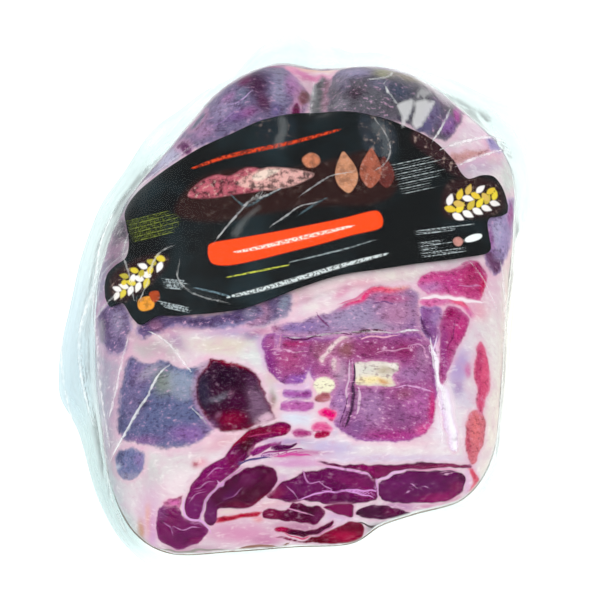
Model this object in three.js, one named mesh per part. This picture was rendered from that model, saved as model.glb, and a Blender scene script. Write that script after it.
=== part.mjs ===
import * as THREE from "three";

// A half shoulder of cured ham, boned, pressed and cut across, sealed in a clear vacuum bag,
// with a printed card label lying on top of the meat under the film.
// Millimetres. The pack lies on its back: X runs to the right along the cut face, Y away from
// the cut face and Z up. The origin is on the table under the middle of the pack.

// Driving sizes of the meat
const THICKNESS = 58;
const LEFT_LUMP = { rise: 16, x: -24, y: 92, halfX: 40, halfY: 34 };
const RIGHT_LUMP = { rise: 15, x: 36, y: 94, halfX: 30, halfY: 30 };
const VALLEY = { depth: 11, x: 7, halfX: 11, fromY: 72, toY: 100, rimFromY: 104, rimToY: 122 };
const RIGHT_THINNING = { drop: 17, fromX: 20, toX: 95 };
const LEFT_THINNING = { drop: 11, fromX: -35, toX: -90 };
const FRONT_THINNING = { drop: 6, fromY: -20, toY: -105 };
const BACK_THINNING = { drop: 8, fromY: 96, toY: 128 };
const CUT_EDGE_SOFTNESS = 0.22;
const MIDDLE = { x: 0, y: 4 };

// Sealed margin of the bag, and its folds: broad ones and narrow ones, so many round the pack,
// which a margin narrower than the least room hasn't got
const MARGIN_THICKNESS = 1.2;
const MARGIN_OFF_TABLE = 0.4;
const BROAD_FOLDS = { height: 3.2, count: 11, phase: 0 };
const NARROW_FOLDS = { height: 1.4, count: 29, phase: 1 };
const FOLD_ROOM = { least: 4, full: 22 };

// Underside: the flat that the pack lies on, as a share of the plan, under a pressed side and
// under the cut face
const FLAT_UNDER_SIDE = 0.82;
const FLAT_UNDER_CUT = 0.946;

// Card label: its thickness, and its clearance over the bag
const LABEL_THICKNESS = 0.8;
const LABEL_CLEARANCE = 0.9;

// The label's outline in plan: pairs of points on its far edge and its near edge, from the
// tab at the left end to the tab at the right end
const LABEL_OUTLINE = [
  { far: [-88.5, 7], near: [-88, 1] },
  { far: [-87.5, 13], near: [-85.5, -5.5] },
  { far: [-84, 16], near: [-80, -6] },
  { far: [-79, 18.5], near: [-75, -16] },
  { far: [-78, 27], near: [-71, -20.5] },
  { far: [-79.5, 37], near: [-64, -17.5] },
  { far: [-80.5, 47], near: [-55, -19] },
  { far: [-76, 55], near: [-47, -19.5] },
  { far: [-65, 60.5], near: [-39, -19.5] },
  { far: [-50.5, 65], near: [-27, -17.5] },
  { far: [-34, 70], near: [-15.5, -13] },
  { far: [-16, 77], near: [-1.5, -6.5] },
  { far: [7.5, 82], near: [14, -0.5] },
  { far: [30.5, 79.5], near: [34, 4.5] },
  { far: [46.5, 78], near: [54.5, 12] },
  { far: [59, 76.5], near: [69.5, 17.5] },
  { far: [68, 70.5], near: [80, 22] },
  { far: [72, 64.5], near: [84.5, 26.5] },
  { far: [75, 62], near: [84, 33] },
  { far: [78, 63], near: [83.5, 40] },
  { far: [82, 65.5], near: [85, 43.5] },
  { far: [87.5, 66.5], near: [87.5, 45] },
  { far: [91.5, 61.5], near: [90.5, 47] },
  { far: [93.5, 54], near: [93, 50] },
];

// How finely the surfaces are divided, and how finely a place's station and slope are found
const STEPS_PER_STATION = 4;
const SLAB_RINGS = 11;
const SHOULDER_RINGS = 11;
const MARGIN_RINGS = 4;
const SIDE_RINGS = 5;
const LABEL_STEPS_PER_PAIR = 3;
const LABEL_ROWS = 12;
const WAYPOINT_COUNT = 48;
const HALVINGS = 18;
const SLOPE_STEP = 0.5;

// The plan's centre, which the pack is moved by so that its origin is under its middle
const PLAN_CENTRE = { x: 1.75, y: 24.24 };

// Stations round the pack, anticlockwise from the left end of the cut face. Each holds
// the edge of the meat (x, y), the height of that edge, the run over which the top comes
// down to it, how much of it is cut face, and the tip of the margin (x, y, height).
const STATIONS = [
  { edge: [-75, -101], height: 10, run: 16, cut: 0.7, tip: [-78, -106, 4] },
  { edge: [-58, -110], height: 5, run: 13, cut: 1.0, tip: [-61, -117, 3] },
  { edge: [-31, -109], height: 5, run: 19, cut: 1.0, tip: [-33, -111, 3.5] },
  { edge: [-4, -106.5], height: 4.5, run: 25, cut: 1.0, tip: [-4, -108.5, 3.5] },
  { edge: [21, -105], height: 5, run: 22, cut: 1.0, tip: [21, -107, 4] },
  { edge: [35, -96.5], height: 7, run: 14, cut: 1.0, tip: [36, -99.5, 5] },
  { edge: [50, -91], height: 8, run: 10, cut: 1.0, tip: [51, -94, 6] },
  { edge: [72, -84], height: 10, run: 9, cut: 0.8, tip: [77, -88.5, 7] },
  { edge: [84, -68], height: 18, run: 16, cut: 0.2, tip: [87, -73, 10] },
  { edge: [88.5, -40], height: 22, run: 20, cut: 0.0, tip: [91.5, -42, 12] },
  { edge: [92, 0], height: 23, run: 22, cut: 0.0, tip: [95.5, 1, 13] },
  { edge: [97, 42], height: 24, run: 24, cut: 0.0, tip: [102, 46, 14] },
  { edge: [98, 80], height: 24, run: 26, cut: 0.0, tip: [114.5, 80, 14] },
  { edge: [84, 106], height: 24, run: 28, cut: 0.0, tip: [105, 127, 12] },
  { edge: [57, 131], height: 24, run: 22, cut: 0.0, tip: [65, 145, 13] },
  { edge: [28, 130], height: 24, run: 21, cut: 0.0, tip: [29, 160, 16] },
  { edge: [6, 130], height: 24, run: 21, cut: 0.0, tip: [6, 163, 17] },
  { edge: [-14, 134], height: 24, run: 22, cut: 0.0, tip: [-16, 164, 17] },
  { edge: [-38, 116], height: 25, run: 28, cut: 0.0, tip: [-41, 141, 14] },
  { edge: [-62, 88], height: 26, run: 30, cut: 0.0, tip: [-72, 111, 12] },
  { edge: [-82, 60], height: 26, run: 30, cut: 0.0, tip: [-96, 70, 11] },
  { edge: [-93, 22], height: 26, run: 30, cut: 0.0, tip: [-106, 23, 9] },
  { edge: [-94, -18], height: 25, run: 28, cut: 0.0, tip: [-111, -24, 8] },
  { edge: [-90, -54], height: 22, run: 24, cut: 0.0, tip: [-100.5, -51, 7] },
  { edge: [-85, -81], height: 17, run: 20, cut: 0.3, tip: [-91, -82.5, 5] },
];

const smooth = (from, to, value) => {
  const t = THREE.MathUtils.clamp((value - from) / (to - from), 0, 1);
  return t * t * (3 - 2 * t);
};

const hill = (x, y, h) => h.rise * Math.exp(-(((x - h.x) / h.halfX) ** 2) - ((y - h.y) / h.halfY) ** 2);

// Height of the pack's top where it is away from the edges: a slab with two lumps at the far
// end and a valley between them that closes again at the rim, thinner towards the right, the
// left and the cut face.
function slabHeight(x, y) {
  const valley = VALLEY.depth * Math.exp(-(((x - VALLEY.x) / VALLEY.halfX) ** 2)) *
    smooth(VALLEY.fromY, VALLEY.toY, y) * (1 - smooth(VALLEY.rimFromY, VALLEY.rimToY, y));
  return THICKNESS + hill(x, y, LEFT_LUMP) + hill(x, y, RIGHT_LUMP) - valley
    - RIGHT_THINNING.drop * smooth(RIGHT_THINNING.fromX, RIGHT_THINNING.toX, x)
    - LEFT_THINNING.drop * smooth(LEFT_THINNING.fromX, LEFT_THINNING.toX, x)
    - FRONT_THINNING.drop * smooth(FRONT_THINNING.fromY, FRONT_THINNING.toY, y)
    - BACK_THINNING.drop * smooth(BACK_THINNING.fromY, BACK_THINNING.toY, y);
}

// Catmull-Rom between b and c, at share f of the way, with the values before and after them
const curve = (a, b, c, d, f) =>
  b + 0.5 * f * (c - a + f * (2 * a - 5 * b + 4 * c - d + f * (3 * (b - c) + d - a)));

// A value of the stations at place t round the pack (0 to 1), on a closed curve
function roundStations(pick, t) {
  const n = STATIONS.length;
  const i = Math.floor(t * n) % n;
  const [a, b, c, d] = [i + n - 1, i, i + 1, i + 2].map((k) => pick(STATIONS[k % n]));
  return curve(a, b, c, d, t * n - Math.floor(t * n));
}

// Everything that the surfaces need at place t round the pack
function station(t) {
  const at = (pick) => roundStations(pick, t);
  return {
    x: at((s) => s.edge[0]),
    y: at((s) => s.edge[1]),
    height: at((s) => s.height),
    run: at((s) => s.run),
    cut: THREE.MathUtils.clamp(at((s) => s.cut), 0, 1),
    tipX: at((s) => s.tip[0]),
    tipY: at((s) => s.tip[1]),
    tipZ: at((s) => s.tip[2]),
  };
}

// How far the top has risen from the edge to the slab's height, 0 to 1, at a distance in
// from the edge: a quarter of an ellipse on a pressed side, a leaning plane with a softly
// rounded upper corner on the cut face.
function rise(distance, run, cut) {
  const inward = Math.min(distance / run, 1);
  const pressed = Math.sqrt(1 - (1 - inward) ** 2);
  const plane = distance / run;
  const overlap = Math.max(CUT_EDGE_SOFTNESS - Math.abs(plane - 1), 0) / CUT_EDGE_SOFTNESS;
  const leaning = Math.min(plane, 1) - overlap * overlap * CUT_EDGE_SOFTNESS / 4;
  return pressed + (leaning - pressed) * cut;
}

// A point of the top, at share s from the middle of the pack (0) to the edge of the meat (1)
function topPoint(s, here) {
  const x = MIDDLE.x + s * (here.x - MIDDLE.x);
  const y = MIDDLE.y + s * (here.y - MIDDLE.y);
  const distance = (1 - s) * Math.hypot(here.x - MIDDLE.x, here.y - MIDDLE.y);
  const z = here.height + (slabHeight(x, y) - here.height) * rise(distance, here.run, here.cut);
  return [x, y, z];
}

// The share of the way out from the middle at which the top starts to come down to the edge
const shoulderShare = (here) => 1 - here.run / Math.hypot(here.x - MIDDLE.x, here.y - MIDDLE.y);

// A point of the margin's middle surface, at share s from the meat (0) to the tip (1): it
// sags to the tip's height and is thrown into folds that grow towards the tip.
function marginPoint(s, here, t) {
  const wave = (folds) => folds.height * Math.sin(2 * Math.PI * folds.count * t + folds.phase);
  const room = smooth(FOLD_ROOM.least, FOLD_ROOM.full, Math.hypot(here.tipX - here.x, here.tipY - here.y));
  const fold = s * room * (wave(BROAD_FOLDS) + wave(NARROW_FOLDS));
  const x = here.x + s * (here.tipX - here.x);
  const y = here.y + s * (here.tipY - here.y);
  const z = here.height + (here.tipZ - here.height) * Math.sin(s * Math.PI / 2) + fold;
  return [x, y, Math.max(z, MARGIN_THICKNESS / 2 + MARGIN_OFF_TABLE)];
}

// A point of the side below the edge, at share s from the edge (0) to the flat underside (1)
function tuckPoint(s, here) {
  const angle = s * Math.PI / 2;
  const flat = FLAT_UNDER_SIDE + (FLAT_UNDER_CUT - FLAT_UNDER_SIDE) * here.cut;
  const share = 1 - (1 - flat) * (1 - Math.cos(angle));
  const x = MIDDLE.x + share * (here.x - MIDDLE.x);
  const y = MIDDLE.y + share * (here.y - MIDDLE.y);
  return [x, y, (here.height - MARGIN_THICKNESS / 2) * (1 - Math.sin(angle))];
}

// One closed body from rings of points, from the pole on top to the pole underneath. Rings
// run anticlockwise seen from above, so the faces point outwards.
function closeRings(topPole, rings, bottomPole) {
  const around = rings[0].length;
  const points = [topPole, ...rings.flat(), bottomPole];
  const at = (ring, k) => 1 + ring * around + (k % around);
  const last = points.length - 1;
  const faces = [];
  for (let k = 0; k < around; k += 1) {
    faces.push(0, at(0, k), at(0, k + 1));
    faces.push(last, at(rings.length - 1, k + 1), at(rings.length - 1, k));
    for (let ring = 0; ring + 1 < rings.length; ring += 1) {
      faces.push(at(ring, k), at(ring + 1, k), at(ring + 1, k + 1));
      faces.push(at(ring, k), at(ring + 1, k + 1), at(ring, k + 1));
    }
  }
  return solidGeometry(points, faces);
}

// A geometry from points and faces, moved so that its origin is under the pack's middle
function solidGeometry(points, faces) {
  const geometry = new THREE.BufferGeometry();
  const moved = points.map(([x, y, z]) => [x - PLAN_CENTRE.x, y - PLAN_CENTRE.y, z]);
  geometry.setAttribute("position", new THREE.Float32BufferAttribute(moved.flat(), 3));
  geometry.setIndex(faces);
  geometry.computeVertexNormals();
  return geometry;
}

// The bag: the meat out to the film, with the sealed margin standing out round it
function bagGeometry() {
  const around = STATIONS.length * STEPS_PER_STATION;
  const turns = Array.from({ length: around }, (_, k) => k / around);
  const places = turns.map(station);
  const ring = (make) => places.map((here, k) => make(here, turns[k]));
  const rings = [];
  for (let j = 1; j <= SLAB_RINGS; j += 1) {
    rings.push(ring((here) => topPoint((j / SLAB_RINGS) * shoulderShare(here), here)));
  }
  for (let j = 1; j < SHOULDER_RINGS; j += 1) {
    const turned = Math.sin((j / SHOULDER_RINGS) * Math.PI / 2);
    rings.push(ring((here) => {
      const shoulder = shoulderShare(here);
      return topPoint(shoulder + (1 - shoulder) * turned, here);
    }));
  }
  const half = MARGIN_THICKNESS / 2;
  for (let j = 0; j <= MARGIN_RINGS; j += 1) {
    rings.push(ring((here, t) => {
      const [x, y, z] = marginPoint(j / MARGIN_RINGS, here, t);
      return [x, y, z + half];
    }));
  }
  for (let j = MARGIN_RINGS; j > 0; j -= 1) {
    rings.push(ring((here, t) => {
      const [x, y, z] = marginPoint(j / MARGIN_RINGS, here, t);
      return [x, y, z - half];
    }));
  }
  for (let j = 0; j <= SIDE_RINGS; j += 1) {
    rings.push(ring((here) => tuckPoint(j / SIDE_RINGS, here)));
  }
  const crown = [MIDDLE.x, MIDDLE.y, slabHeight(MIDDLE.x, MIDDLE.y)];
  return closeRings(crown, rings, [MIDDLE.x, MIDDLE.y, 0]);
}

// The station that a place in plan lies towards, seen from the middle of the pack: the nearest
// of a few round the pack, then closed in on by halving.
const bearing = (x, y) => Math.atan2(y - MIDDLE.y, x - MIDDLE.x);
const WAYPOINTS = Array.from({ length: WAYPOINT_COUNT }, (_, k) => k / WAYPOINT_COUNT);

function stationToward(x, y) {
  const past = (t) => {
    const here = station((t + 1) % 1);
    const turn = bearing(here.x, here.y) - bearing(x, y);
    return Math.atan2(Math.sin(turn), Math.cos(turn));
  };
  const nearest = WAYPOINTS.reduce((best, t) => (Math.abs(past(t)) < Math.abs(past(best)) ? t : best));
  let low = nearest - 1 / WAYPOINT_COUNT;
  let high = nearest + 1 / WAYPOINT_COUNT;
  for (let step = 0; step < HALVINGS; step += 1) {
    const middle = (low + high) / 2;
    if (past(middle) > 0) {
      high = middle;
    } else {
      low = middle;
    }
  }
  return station((low + 1) % 1);
}

// The height of the bag's top over a place in plan
function topHeight(x, y) {
  const here = stationToward(x, y);
  const reach = Math.hypot(here.x - MIDDLE.x, here.y - MIDDLE.y);
  return topPoint(Math.min(Math.hypot(x - MIDDLE.x, y - MIDDLE.y) / reach, 1), here)[2];
}

// A point at a height over the bag's top, measured square to it
function overTop(x, y, lift) {
  const slopeX = (topHeight(x + SLOPE_STEP, y) - topHeight(x - SLOPE_STEP, y)) / (2 * SLOPE_STEP);
  const slopeY = (topHeight(x, y + SLOPE_STEP) - topHeight(x, y - SLOPE_STEP)) / (2 * SLOPE_STEP);
  const normal = new THREE.Vector3(-slopeX, -slopeY, 1).normalize();
  return [x + normal.x * lift, y + normal.y * lift, topHeight(x, y) + normal.z * lift];
}

// A place on the label's outline, on the far edge or the near edge, at share u of its length
function labelEdge(edge, u) {
  const last = LABEL_OUTLINE.length - 1;
  const i = Math.min(Math.floor(u * last), last - 1);
  const pairs = [i - 1, i, i + 1, i + 2].map((k) => LABEL_OUTLINE[THREE.MathUtils.clamp(k, 0, last)][edge]);
  return [0, 1].map((axis) => curve(...pairs.map((pair) => pair[axis]), u * last - i));
}

// The label: a card of even thickness, ruled between its near and far edges, lying on the bag
function labelGeometry() {
  const columns = (LABEL_OUTLINE.length - 1) * LABEL_STEPS_PER_PAIR;
  const points = [];
  for (const lift of [LABEL_CLEARANCE, LABEL_CLEARANCE + LABEL_THICKNESS]) {
    for (let i = 0; i <= columns; i += 1) {
      const near = labelEdge("near", i / columns);
      const far = labelEdge("far", i / columns);
      for (let j = 0; j <= LABEL_ROWS; j += 1) {
        const share = j / LABEL_ROWS;
        const [x, y] = [0, 1].map((axis) => near[axis] + share * (far[axis] - near[axis]));
        points.push(overTop(x, y, lift));
      }
    }
  }
  const layer = (columns + 1) * (LABEL_ROWS + 1);
  const under = (i, j) => i * (LABEL_ROWS + 1) + j;
  const over = (i, j) => layer + under(i, j);
  const faces = [];
  const quad = (a, b, c, d) => faces.push(a, b, c, a, c, d);
  for (let i = 0; i < columns; i += 1) {
    for (let j = 0; j < LABEL_ROWS; j += 1) {
      quad(over(i, j), over(i + 1, j), over(i + 1, j + 1), over(i, j + 1));
      faces.push(under(i, j), under(i + 1, j + 1), under(i + 1, j));
      faces.push(under(i, j), under(i, j + 1), under(i + 1, j + 1));
    }
    quad(under(i, 0), under(i + 1, 0), over(i + 1, 0), over(i, 0));
    quad(over(i, LABEL_ROWS), over(i + 1, LABEL_ROWS), under(i + 1, LABEL_ROWS), under(i, LABEL_ROWS));
  }
  for (let j = 0; j < LABEL_ROWS; j += 1) {
    quad(over(0, j), over(0, j + 1), under(0, j + 1), under(0, j));
    quad(under(columns, j), under(columns, j + 1), over(columns, j + 1), over(columns, j));
  }
  return solidGeometry(points, faces);
}

const group = new THREE.Group();
const bag = new THREE.Mesh(
  bagGeometry(),
  new THREE.MeshStandardMaterial({ color: 0x9a5a86, roughness: 0.25, metalness: 0 }),
);
bag.name = "bag";
group.add(bag);

const label = new THREE.Mesh(
  labelGeometry(),
  new THREE.MeshStandardMaterial({ color: 0x161d20, roughness: 0.4, metalness: 0 }),
);
label.name = "label";
group.add(label);

export default group;
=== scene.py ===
import math

import bpy
import numpy as np
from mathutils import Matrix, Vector


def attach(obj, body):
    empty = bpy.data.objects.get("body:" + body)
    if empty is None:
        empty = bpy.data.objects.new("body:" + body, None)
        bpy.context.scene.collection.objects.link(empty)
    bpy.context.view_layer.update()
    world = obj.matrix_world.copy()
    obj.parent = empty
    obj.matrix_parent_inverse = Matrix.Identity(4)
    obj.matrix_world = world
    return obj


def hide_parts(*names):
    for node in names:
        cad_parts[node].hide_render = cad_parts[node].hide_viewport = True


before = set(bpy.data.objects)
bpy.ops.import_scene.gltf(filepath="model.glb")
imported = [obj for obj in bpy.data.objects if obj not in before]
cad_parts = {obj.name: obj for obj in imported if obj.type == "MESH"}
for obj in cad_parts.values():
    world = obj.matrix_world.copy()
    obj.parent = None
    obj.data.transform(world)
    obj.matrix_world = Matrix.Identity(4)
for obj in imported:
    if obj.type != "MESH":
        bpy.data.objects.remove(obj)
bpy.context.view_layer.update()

# A half shoulder of cured ham in a clear vacuum bag, with a card label under the film.
# The form repeats the CAD's named values, in millimetres; meshes are put in as metres.

MM = 0.001
PLAN_CENTRE = np.array([1.75, 24.24, 0.0])

# The meat's form
THICKNESS = 58.0
LEFT_LUMP = dict(rise=16.0, x=-24.0, y=92.0, half_x=40.0, half_y=34.0)
RIGHT_LUMP = dict(rise=15.0, x=36.0, y=94.0, half_x=30.0, half_y=30.0)
VALLEY = dict(depth=11.0, x=7.0, half_x=11.0, from_y=72.0, to_y=100.0, rim_from_y=104.0, rim_to_y=122.0)
RIGHT_THINNING = dict(drop=17.0, start=20.0, end=95.0)
LEFT_THINNING = dict(drop=11.0, start=-35.0, end=-90.0)
FRONT_THINNING = dict(drop=6.0, start=-20.0, end=-105.0)
BACK_THINNING = dict(drop=8.0, start=96.0, end=128.0)
CUT_EDGE_SOFTNESS = 0.22
MIDDLE = np.array([0.0, 4.0])

# The bag's margin and the underside
MARGIN_OFF_TABLE = 1.0
BROAD_FOLDS = dict(height=3.2, count=11, phase=0.0)
NARROW_FOLDS = dict(height=1.4, count=29, phase=1.0)
FOLD_ROOM = (4.0, 22.0)
FLAT_UNDER_SIDE = 0.82
FLAT_UNDER_CUT = 0.946

# Stations round the pack, anticlockwise from the left end of the cut face: the edge of the
# meat (x, y), its height, the run of the top down to it, the share of cut face, and the
# tip of the margin (x, y, height)
STATIONS = np.array([
    (-75, -101, 10, 16, 0.7, -78, -106, 4),
    (-58, -110, 5, 13, 1.0, -61, -117, 3),
    (-31, -109, 5, 19, 1.0, -33, -111, 3.5),
    (-4, -106.5, 4.5, 25, 1.0, -4, -108.5, 3.5),
    (21, -105, 5, 22, 1.0, 21, -107, 4),
    (35, -96.5, 7, 14, 1.0, 36, -99.5, 5),
    (50, -91, 8, 10, 1.0, 51, -94, 6),
    (72, -84, 10, 9, 0.8, 77, -88.5, 7),
    (84, -68, 18, 16, 0.2, 87, -73, 10),
    (88.5, -40, 22, 20, 0.0, 91.5, -42, 12),
    (92, 0, 23, 22, 0.0, 95.5, 1, 13),
    (97, 42, 24, 24, 0.0, 102, 46, 14),
    (98, 80, 24, 26, 0.0, 114.5, 80, 14),
    (84, 106, 24, 28, 0.0, 105, 127, 12),
    (57, 131, 24, 22, 0.0, 65, 145, 13),
    (28, 130, 24, 21, 0.0, 29, 160, 16),
    (6, 130, 24, 21, 0.0, 6, 163, 17),
    (-14, 134, 24, 22, 0.0, -16, 164, 17),
    (-38, 116, 25, 28, 0.0, -41, 141, 14),
    (-62, 88, 26, 30, 0.0, -72, 111, 12),
    (-82, 60, 26, 30, 0.0, -96, 70, 11),
    (-93, 22, 26, 30, 0.0, -106, 23, 9),
    (-94, -18, 25, 28, 0.0, -111, -24, 8),
    (-90, -54, 22, 24, 0.0, -100.5, -51, 7),
    (-85, -81, 17, 20, 0.3, -91, -82.5, 5),
], float)

# The label's outline in plan: its far edge and its near edge, point for point, from the tab
# at the left end to the tab at the right end
LABEL_FAR = np.array([
    (-88.5, 7), (-87.5, 13), (-84, 16), (-79, 18.5), (-78, 27), (-79.5, 37), (-80.5, 47), (-76, 55),
    (-65, 60.5), (-50.5, 65), (-34, 70), (-16, 77), (7.5, 82), (30.5, 79.5), (46.5, 78), (59, 76.5),
    (68, 70.5), (72, 64.5), (75, 62), (78, 63), (82, 65.5), (87.5, 66.5), (91.5, 61.5), (93.5, 54),
], float)
LABEL_NEAR = np.array([
    (-88, 1), (-85.5, -5.5), (-80, -6), (-75, -16), (-71, -20.5), (-64, -17.5), (-55, -19), (-47, -19.5),
    (-39, -19.5), (-27, -17.5), (-15.5, -13), (-1.5, -6.5), (14, -0.5), (34, 4.5), (54.5, 12), (69.5, 17.5),
    (80, 22), (84.5, 26.5), (84, 33), (83.5, 40), (85, 43.5), (87.5, 45), (90.5, 47), (93, 50),
], float)
LABEL_CLEARANCE = 0.9
LABEL_THICKNESS = 0.4

# The camera that took the photograph, and where the picture of 600 by 600 pixels aims
PICTURE_SIZE = 600
SENSOR_MM = 36.0
CAMERA_ELEVATION = math.radians(57)
CAMERA_DISTANCE = 1300.0
PIXEL_MM = 0.45
AIM = np.array([0.0, 0.0, 35.0])
AIM_PIXEL = np.array([303.0, 305.0])
TOWARD_CAMERA = np.array([0, -math.cos(CAMERA_ELEVATION), math.sin(CAMERA_ELEVATION)])
PICTURE_UP = np.array([0, math.sin(CAMERA_ELEVATION), math.cos(CAMERA_ELEVATION)])

# How finely the pieces are divided, in rings from the middle out
SLAB_RINGS = 74
SHOULDER_RINGS = 60
MARGIN_RINGS = 16
TUCK_RINGS = 8
UNDER_RINGS = 5
LABEL_COLUMNS = 250
LABEL_ROWS = 120


# Plain sums

def smooth(start, end, value):
    """0 before start and 1 after end, with an even S between them."""
    t = np.clip((value - start) / (end - start), 0, 1)
    return t * t * (3 - 2 * t)


def mix(a, b, share):
    return a + (b - a) * share


def curve(a, b, c, d, f):
    """Catmull-Rom between b and c at share f, with the values before and after them."""
    return b + 0.5 * f * (c - a + f * (2 * a - 5 * b + 4 * c - d + f * (3 * (b - c) + d - a)))


def along_curve(points, share, closed=False):
    """The place at a share, 0 to 1, of a smooth curve through points."""
    points = np.asarray(points, float)
    n = len(points)
    spans = n if closed else n - 1
    place = np.asarray(share) * spans
    i = np.minimum(np.floor(place).astype(int), spans - 1)
    four = [(i + k) % n if closed else np.clip(i + k, 0, n - 1) for k in (-1, 0, 1, 2)]
    return curve(*[points[k] for k in four], (place - i)[:, None])


def linear(colour):
    """An sRGB hex colour as linear red, green, blue and full alpha."""
    srgb = np.array([int(colour[k:k + 2], 16) for k in (1, 3, 5)]) / 255.0
    rgb = np.where(srgb <= 0.04045, srgb / 12.92, ((srgb + 0.055) / 1.055) ** 2.4)
    return np.append(rgb, 1.0)


def unit(vectors):
    return vectors / np.maximum(np.linalg.norm(vectors, axis=-1, keepdims=True), 1e-12)


def rumple(points, size, seed, waves=28):
    """A smooth random field from -1 to 1 or so with humps about size across: a sum of plane
    waves in random directions, of random length round that size."""
    rng = np.random.default_rng(seed)
    heading = unit(rng.normal(size=(waves, 3)))
    pace = 2 * np.pi / (size * rng.uniform(1.3, 3.2, waves))
    phase = rng.uniform(0, 2 * np.pi, waves)
    return np.sin(points @ (heading * pace[:, None]).T + phase).sum(1) / math.sqrt(waves)


# The form of the pack

def hill(x, y, lump):
    """A rounded hill: its rise falls off as exp(-distance squared), in half widths."""
    away = ((x - lump["x"]) / lump["half_x"]) ** 2 + ((y - lump["y"]) / lump["half_y"]) ** 2
    return lump["rise"] * np.exp(-away)


def slab_height(x, y):
    """The top's height away from the edges: thickness, two hills, a valley that closes again
    at the rim, and four thinnings."""
    valley = VALLEY["depth"] * np.exp(-((x - VALLEY["x"]) / VALLEY["half_x"]) ** 2)
    valley = valley * smooth(VALLEY["from_y"], VALLEY["to_y"], y)
    valley = valley * (1 - smooth(VALLEY["rim_from_y"], VALLEY["rim_to_y"], y))
    height = THICKNESS + hill(x, y, LEFT_LUMP) + hill(x, y, RIGHT_LUMP) - valley
    thinnings = ((RIGHT_THINNING, x), (LEFT_THINNING, x), (FRONT_THINNING, y), (BACK_THINNING, y))
    for thinning, place in thinnings:
        height = height - thinning["drop"] * smooth(thinning["start"], thinning["end"], place)
    return height


def rise(distance, run, cut):
    """How far the top has risen from the edge, 0 to 1: a quarter ellipse on a pressed side,
    and a leaning plane with a softly rounded upper corner on the cut face."""
    pressed = np.sqrt(1 - (1 - np.clip(distance / run, 0, 1)) ** 2)
    plane = distance / run
    overlap = np.maximum(CUT_EDGE_SOFTNESS - np.abs(plane - 1), 0) / CUT_EDGE_SOFTNESS
    leaning = np.minimum(plane, 1) - overlap ** 2 * CUT_EDGE_SOFTNESS / 4
    return mix(pressed, leaning, cut)


def stations_at(turns):
    """The stations' values at turns round the pack, 0 to 1."""
    here = along_curve(STATIONS, turns % 1.0, closed=True)
    here[:, 4] = np.clip(here[:, 4], 0, 1)
    return here


def top_points(share, here):
    """Points of the top at a share of the way from the middle to the meat's edge."""
    out = here[:, 0:2] - MIDDLE
    place = MIDDLE + share[:, None] * out
    distance = (1 - share) * np.hypot(out[:, 0], out[:, 1])
    lift = rise(distance, here[:, 3], here[:, 4])
    return np.column_stack([place, mix(here[:, 2], slab_height(place[:, 0], place[:, 1]), lift)])


def margin_points(share, here, turns):
    """The margin's middle surface, from the meat (share 0) to the tip (1): it sags to the
    tip's height in a quarter sine, and broad and narrow folds grow towards the tip."""
    width = np.hypot(here[:, 5] - here[:, 0], here[:, 6] - here[:, 1])
    folds = 0
    for wave in (BROAD_FOLDS, NARROW_FOLDS):
        folds = folds + wave["height"] * np.sin(2 * np.pi * wave["count"] * turns + wave["phase"])
    fold = share * smooth(*FOLD_ROOM, width) * folds
    place = mix(here[:, 0:2], here[:, 5:7], share[:, None])
    z = here[:, 2] + (here[:, 7] - here[:, 2]) * np.sin(share * np.pi / 2) + fold
    return np.column_stack([place, np.maximum(z, MARGIN_OFF_TABLE)])


def tuck_points(share, here):
    """The side below the edge, from the edge (share 0) to the flat underside (1): a quarter
    turn that runs in to the flat and down to the table."""
    angle = share * np.pi / 2
    flat = mix(FLAT_UNDER_SIDE, FLAT_UNDER_CUT, here[:, 4])
    inward = 1 - (1 - flat) * (1 - np.cos(angle))
    return np.column_stack([mix(MIDDLE, here[:, 0:2], inward[:, None]), here[:, 2] * (1 - np.sin(angle))])


def ring_share(ring, here):
    """The share of the way out of a ring of the top: even over the slab, so that a ring lies
    on the cut's upper edge; then even down the cut face, or a quarter sine down a side."""
    shoulder = 1 - here[:, 3] / np.hypot(here[:, 0] - MIDDLE[0], here[:, 1] - MIDDLE[1])
    down = np.clip((ring - SLAB_RINGS) / SHOULDER_RINGS, 0, 1)
    turned = mix(np.sin(down * np.pi / 2), down, here[:, 4])
    return np.where(ring <= SLAB_RINGS, ring / SLAB_RINGS * shoulder, mix(shoulder, 1, turned))


def disc_grid(rings):
    """A square grid bent onto a round plan: each square of the grid is a ring of the pack, and
    its four sides are the front, right, back and left. Gives each point's ring and turn,
    the quads, and the outermost ring's points in order."""
    i, j = np.meshgrid(np.arange(-rings, rings + 1), np.arange(-rings, rings + 1))
    i, j = i.ravel(), j.ravel()
    ring = np.maximum(np.abs(i), np.abs(j))
    step = np.select([(j == -ring) & (i < ring), (i == ring) & (j < ring), (j == ring) & (i > -ring)],
                     [i + ring, 3 * ring + j, 5 * ring - i], 7 * ring - j)
    turn = step / np.maximum(8 * ring, 1) % 1.0
    side = 2 * rings + 1
    corner = (np.arange(side - 1)[:, None] * side + np.arange(side - 1)).ravel()
    quads = np.stack([corner, corner + 1, corner + side + 1, corner + side], 1)
    rim = np.flatnonzero(ring == rings)
    return ring, turn, quads, rim[np.argsort(turn[rim])]


def strips(rings, downward):
    """Quads between rings of points, given as rows of point numbers in the order of turns."""
    quads = []
    for inner, outer in zip(rings[:-1], rings[1:]):
        inner_next, outer_next = np.roll(inner, -1), np.roll(outer, -1)
        quads.append(np.stack([inner, outer, outer_next, inner_next], 1))
    quads = np.concatenate(quads)
    return quads[:, ::-1] if downward else quads


def fan(ring, pole):
    """Triangles between a ring of points and a pole."""
    return np.stack([ring, np.full(len(ring), pole), np.roll(ring, -1)], 1)


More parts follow.
